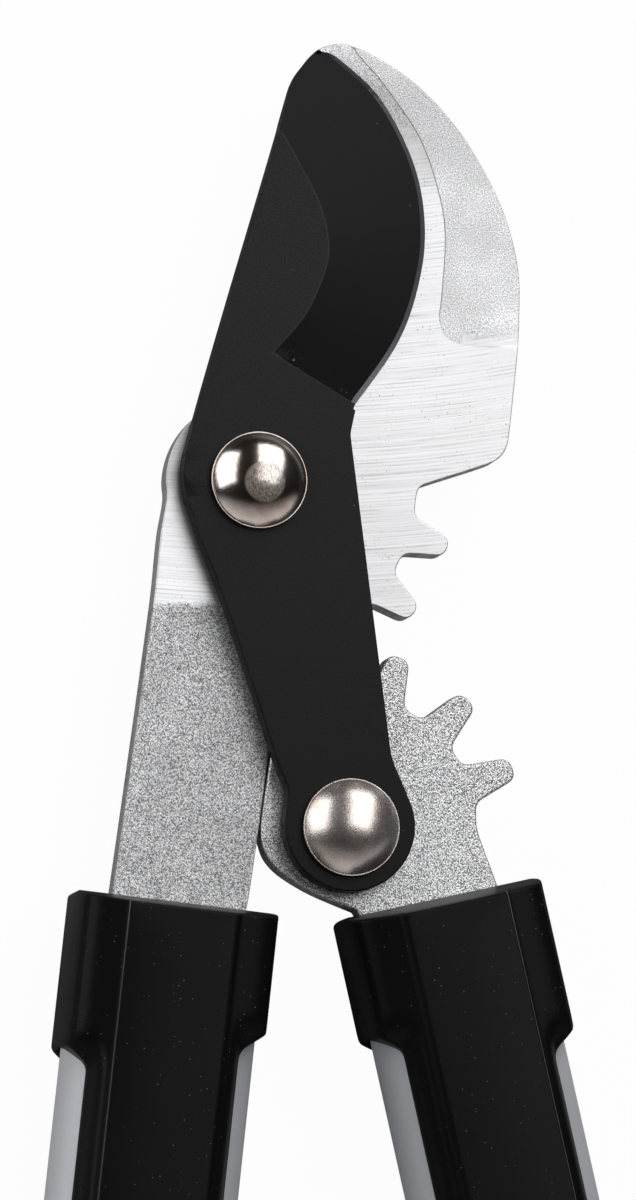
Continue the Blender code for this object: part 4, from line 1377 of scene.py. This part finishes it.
def makeGrip(key, ribTree, ribValues):
    length = grip["end"] - grip["start"]
    curve = splineThrough(np.array([(s[0] * length, s[1], s[2]) for s in grip["stations"]]), 1.0)
    shell = Shell()
    rings = []
    for down in np.linspace(0, length, grip["rings"]):
        wide, deep = np.interp(down, curve[:, 0], curve[:, 1]), np.interp(down, curve[:, 0], curve[:, 2])
        oval = squaredOval(wide, deep, grip["around"], grip["squareness"])
        rings.append(shell.add(acrossHandle(oval, grip["start"] + down)))
    outerCount = len(shell.places)
    gap = grip["boreGap"]
    bore = squaredOval(handles["tubeWide"] + gap, handles["tubeDeep"] + gap, grip["around"], 2.0)
    rings += [shell.add(acrossHandle(bore, down)) for down in (grip["end"], grip["start"])]
    for low, high in zip(rings, rings[1:] + rings[:1]):
        shell.skin(low, high)
    obj = meshPiece(key + "GripSleeve", shell, [finishes["rubber"]])
    paint(obj, "outerSkin", np.arange(len(shell.places)) < outerCount)
    runTree(obj, ribTree, ribValues)
    places = np.array([v.co for v in obj.data.vertices], float) / mm
    obj.data.vertices.foreach_set("co", (onHandle(key)(places) * mm).ravel())
    bm = bmesh.new()
    bm.from_mesh(obj.data)
    bmesh.ops.recalc_face_normals(bm, faces=bm.faces[:])
    bm.to_mesh(obj.data)
    bm.free()
    finishPiece(obj, handles[key]["body"], "grip_rubber", key + "_grip")


cap = {
    "length": 8.0, "rim": 4.5, "half": 20.6, "deep": 13.4, "endHalf": 17.0, "endShrink": 3.0, "rimRound": 0.4,
    "plug": 25.0, "plugTaper": 1.0,
    # how much narrower, shallower and further in the end's dish is, from its rim to its floor
    "dish": [(3, 6, 0.0), (3.4, 6.4, 0.5), (9, 9.5, 0.5)],
}


def makeCap(key):
    start = grip["end"] + handles["gap"]
    end = start + cap["length"]
    half, deep, rimRound, taper = cap["half"], cap["deep"], cap["rimRound"], cap["plugTaper"]
    inner = handles["wall"] + handles["gap"]
    plugWide, plugDeep = handles["tubeWide"] - inner, handles["tubeDeep"] - inner
    plugEnd = handles["tubeEnd"] - cap["plug"]
    # half width, half depth and place down the handle of each ring
    plug = [(plugWide - taper, plugDeep - taper, plugEnd), (plugWide, plugDeep, plugEnd + taper),
            (plugWide, plugDeep, start)]
    body = [(half - rimRound, deep - rimRound, start), (half, deep, start + rimRound),
            (half, deep, start + cap["rim"])]
    for k in range(1, 9):
        angle = math.pi / 2 * k / 8
        shrink = 1 - math.cos(angle)
        body.append((half - (half - cap["endHalf"]) * shrink, deep - cap["endShrink"] * shrink,
                     start + cap["rim"] + (cap["length"] - cap["rim"]) * math.sin(angle)))
    body += [(cap["endHalf"] - narrower, deep - shallower, end - sunk)
             for narrower, shallower, sunk in cap["dish"]]
    shell = Shell()
    rings = []
    for sections, power in ((plug, 2.0), (body, grip["squareness"])):
        for wide, high, down in sections:
            rings.append(shell.add(acrossHandle(squaredOval(wide, high, grip["around"], power), down)))
    for low, high in zip(rings, rings[1:]):
        shell.skin(low, high)
    for ring, down in ((rings[0], plugEnd), (rings[-1], body[-1][2])):
        shell.fan(shell.add([(0, down, 0)])[0], ring)
    obj = meshPiece(key + "CapBody", shell, [finishes["cap"]], place=onHandle(key))
    finishPiece(obj, handles[key]["body"], "cap_plastic", key + "_end_cap")


def dressHidden():
    # the pieces inside keep their solids and take a real finish
    kinds = {"bush": "bronze", "core": "core", "pin": "steel"}
    for name, node in frame["nodes"].items():
        for word, finish in kinds.items():
            if name.endswith(word):
                node.data.materials.clear()
                node.data.materials.append(finishes[finish])


makeCamera()
makeLights()
makeFloor()
print("camera, lights and floor are set")
makeMaterials()
print("materials are ready")
makeBlade()
makeHookArm()
makeGearLever()
print("blade and arms are made")
makeRivet("topRivet", "top_pivot_rivet", topPivot, finishes["mirrorNickel"], True)
makeRivet("bottomRivet", "bottom_pivot_rivet", bottomPivot, finishes["satinNickel"], False)
makeWasher("topWasher", "top_pivot_washer", topPivot)
makeWasher("bottomWasher", "bottom_pivot_washer", bottomPivot)
print("rivets and washers are made")
ribTree, ribValues = makeRibTree()
for key in ("left", "right"):
    makeCollar(key)
    makeTube(key)
    makeGrip(key, ribTree, ribValues)
    makeCap(key)
print("handles are made")
dressHidden()

bpy.context.scene.view_settings.view_transform = "Standard"
bpy.context.view_layer.update()
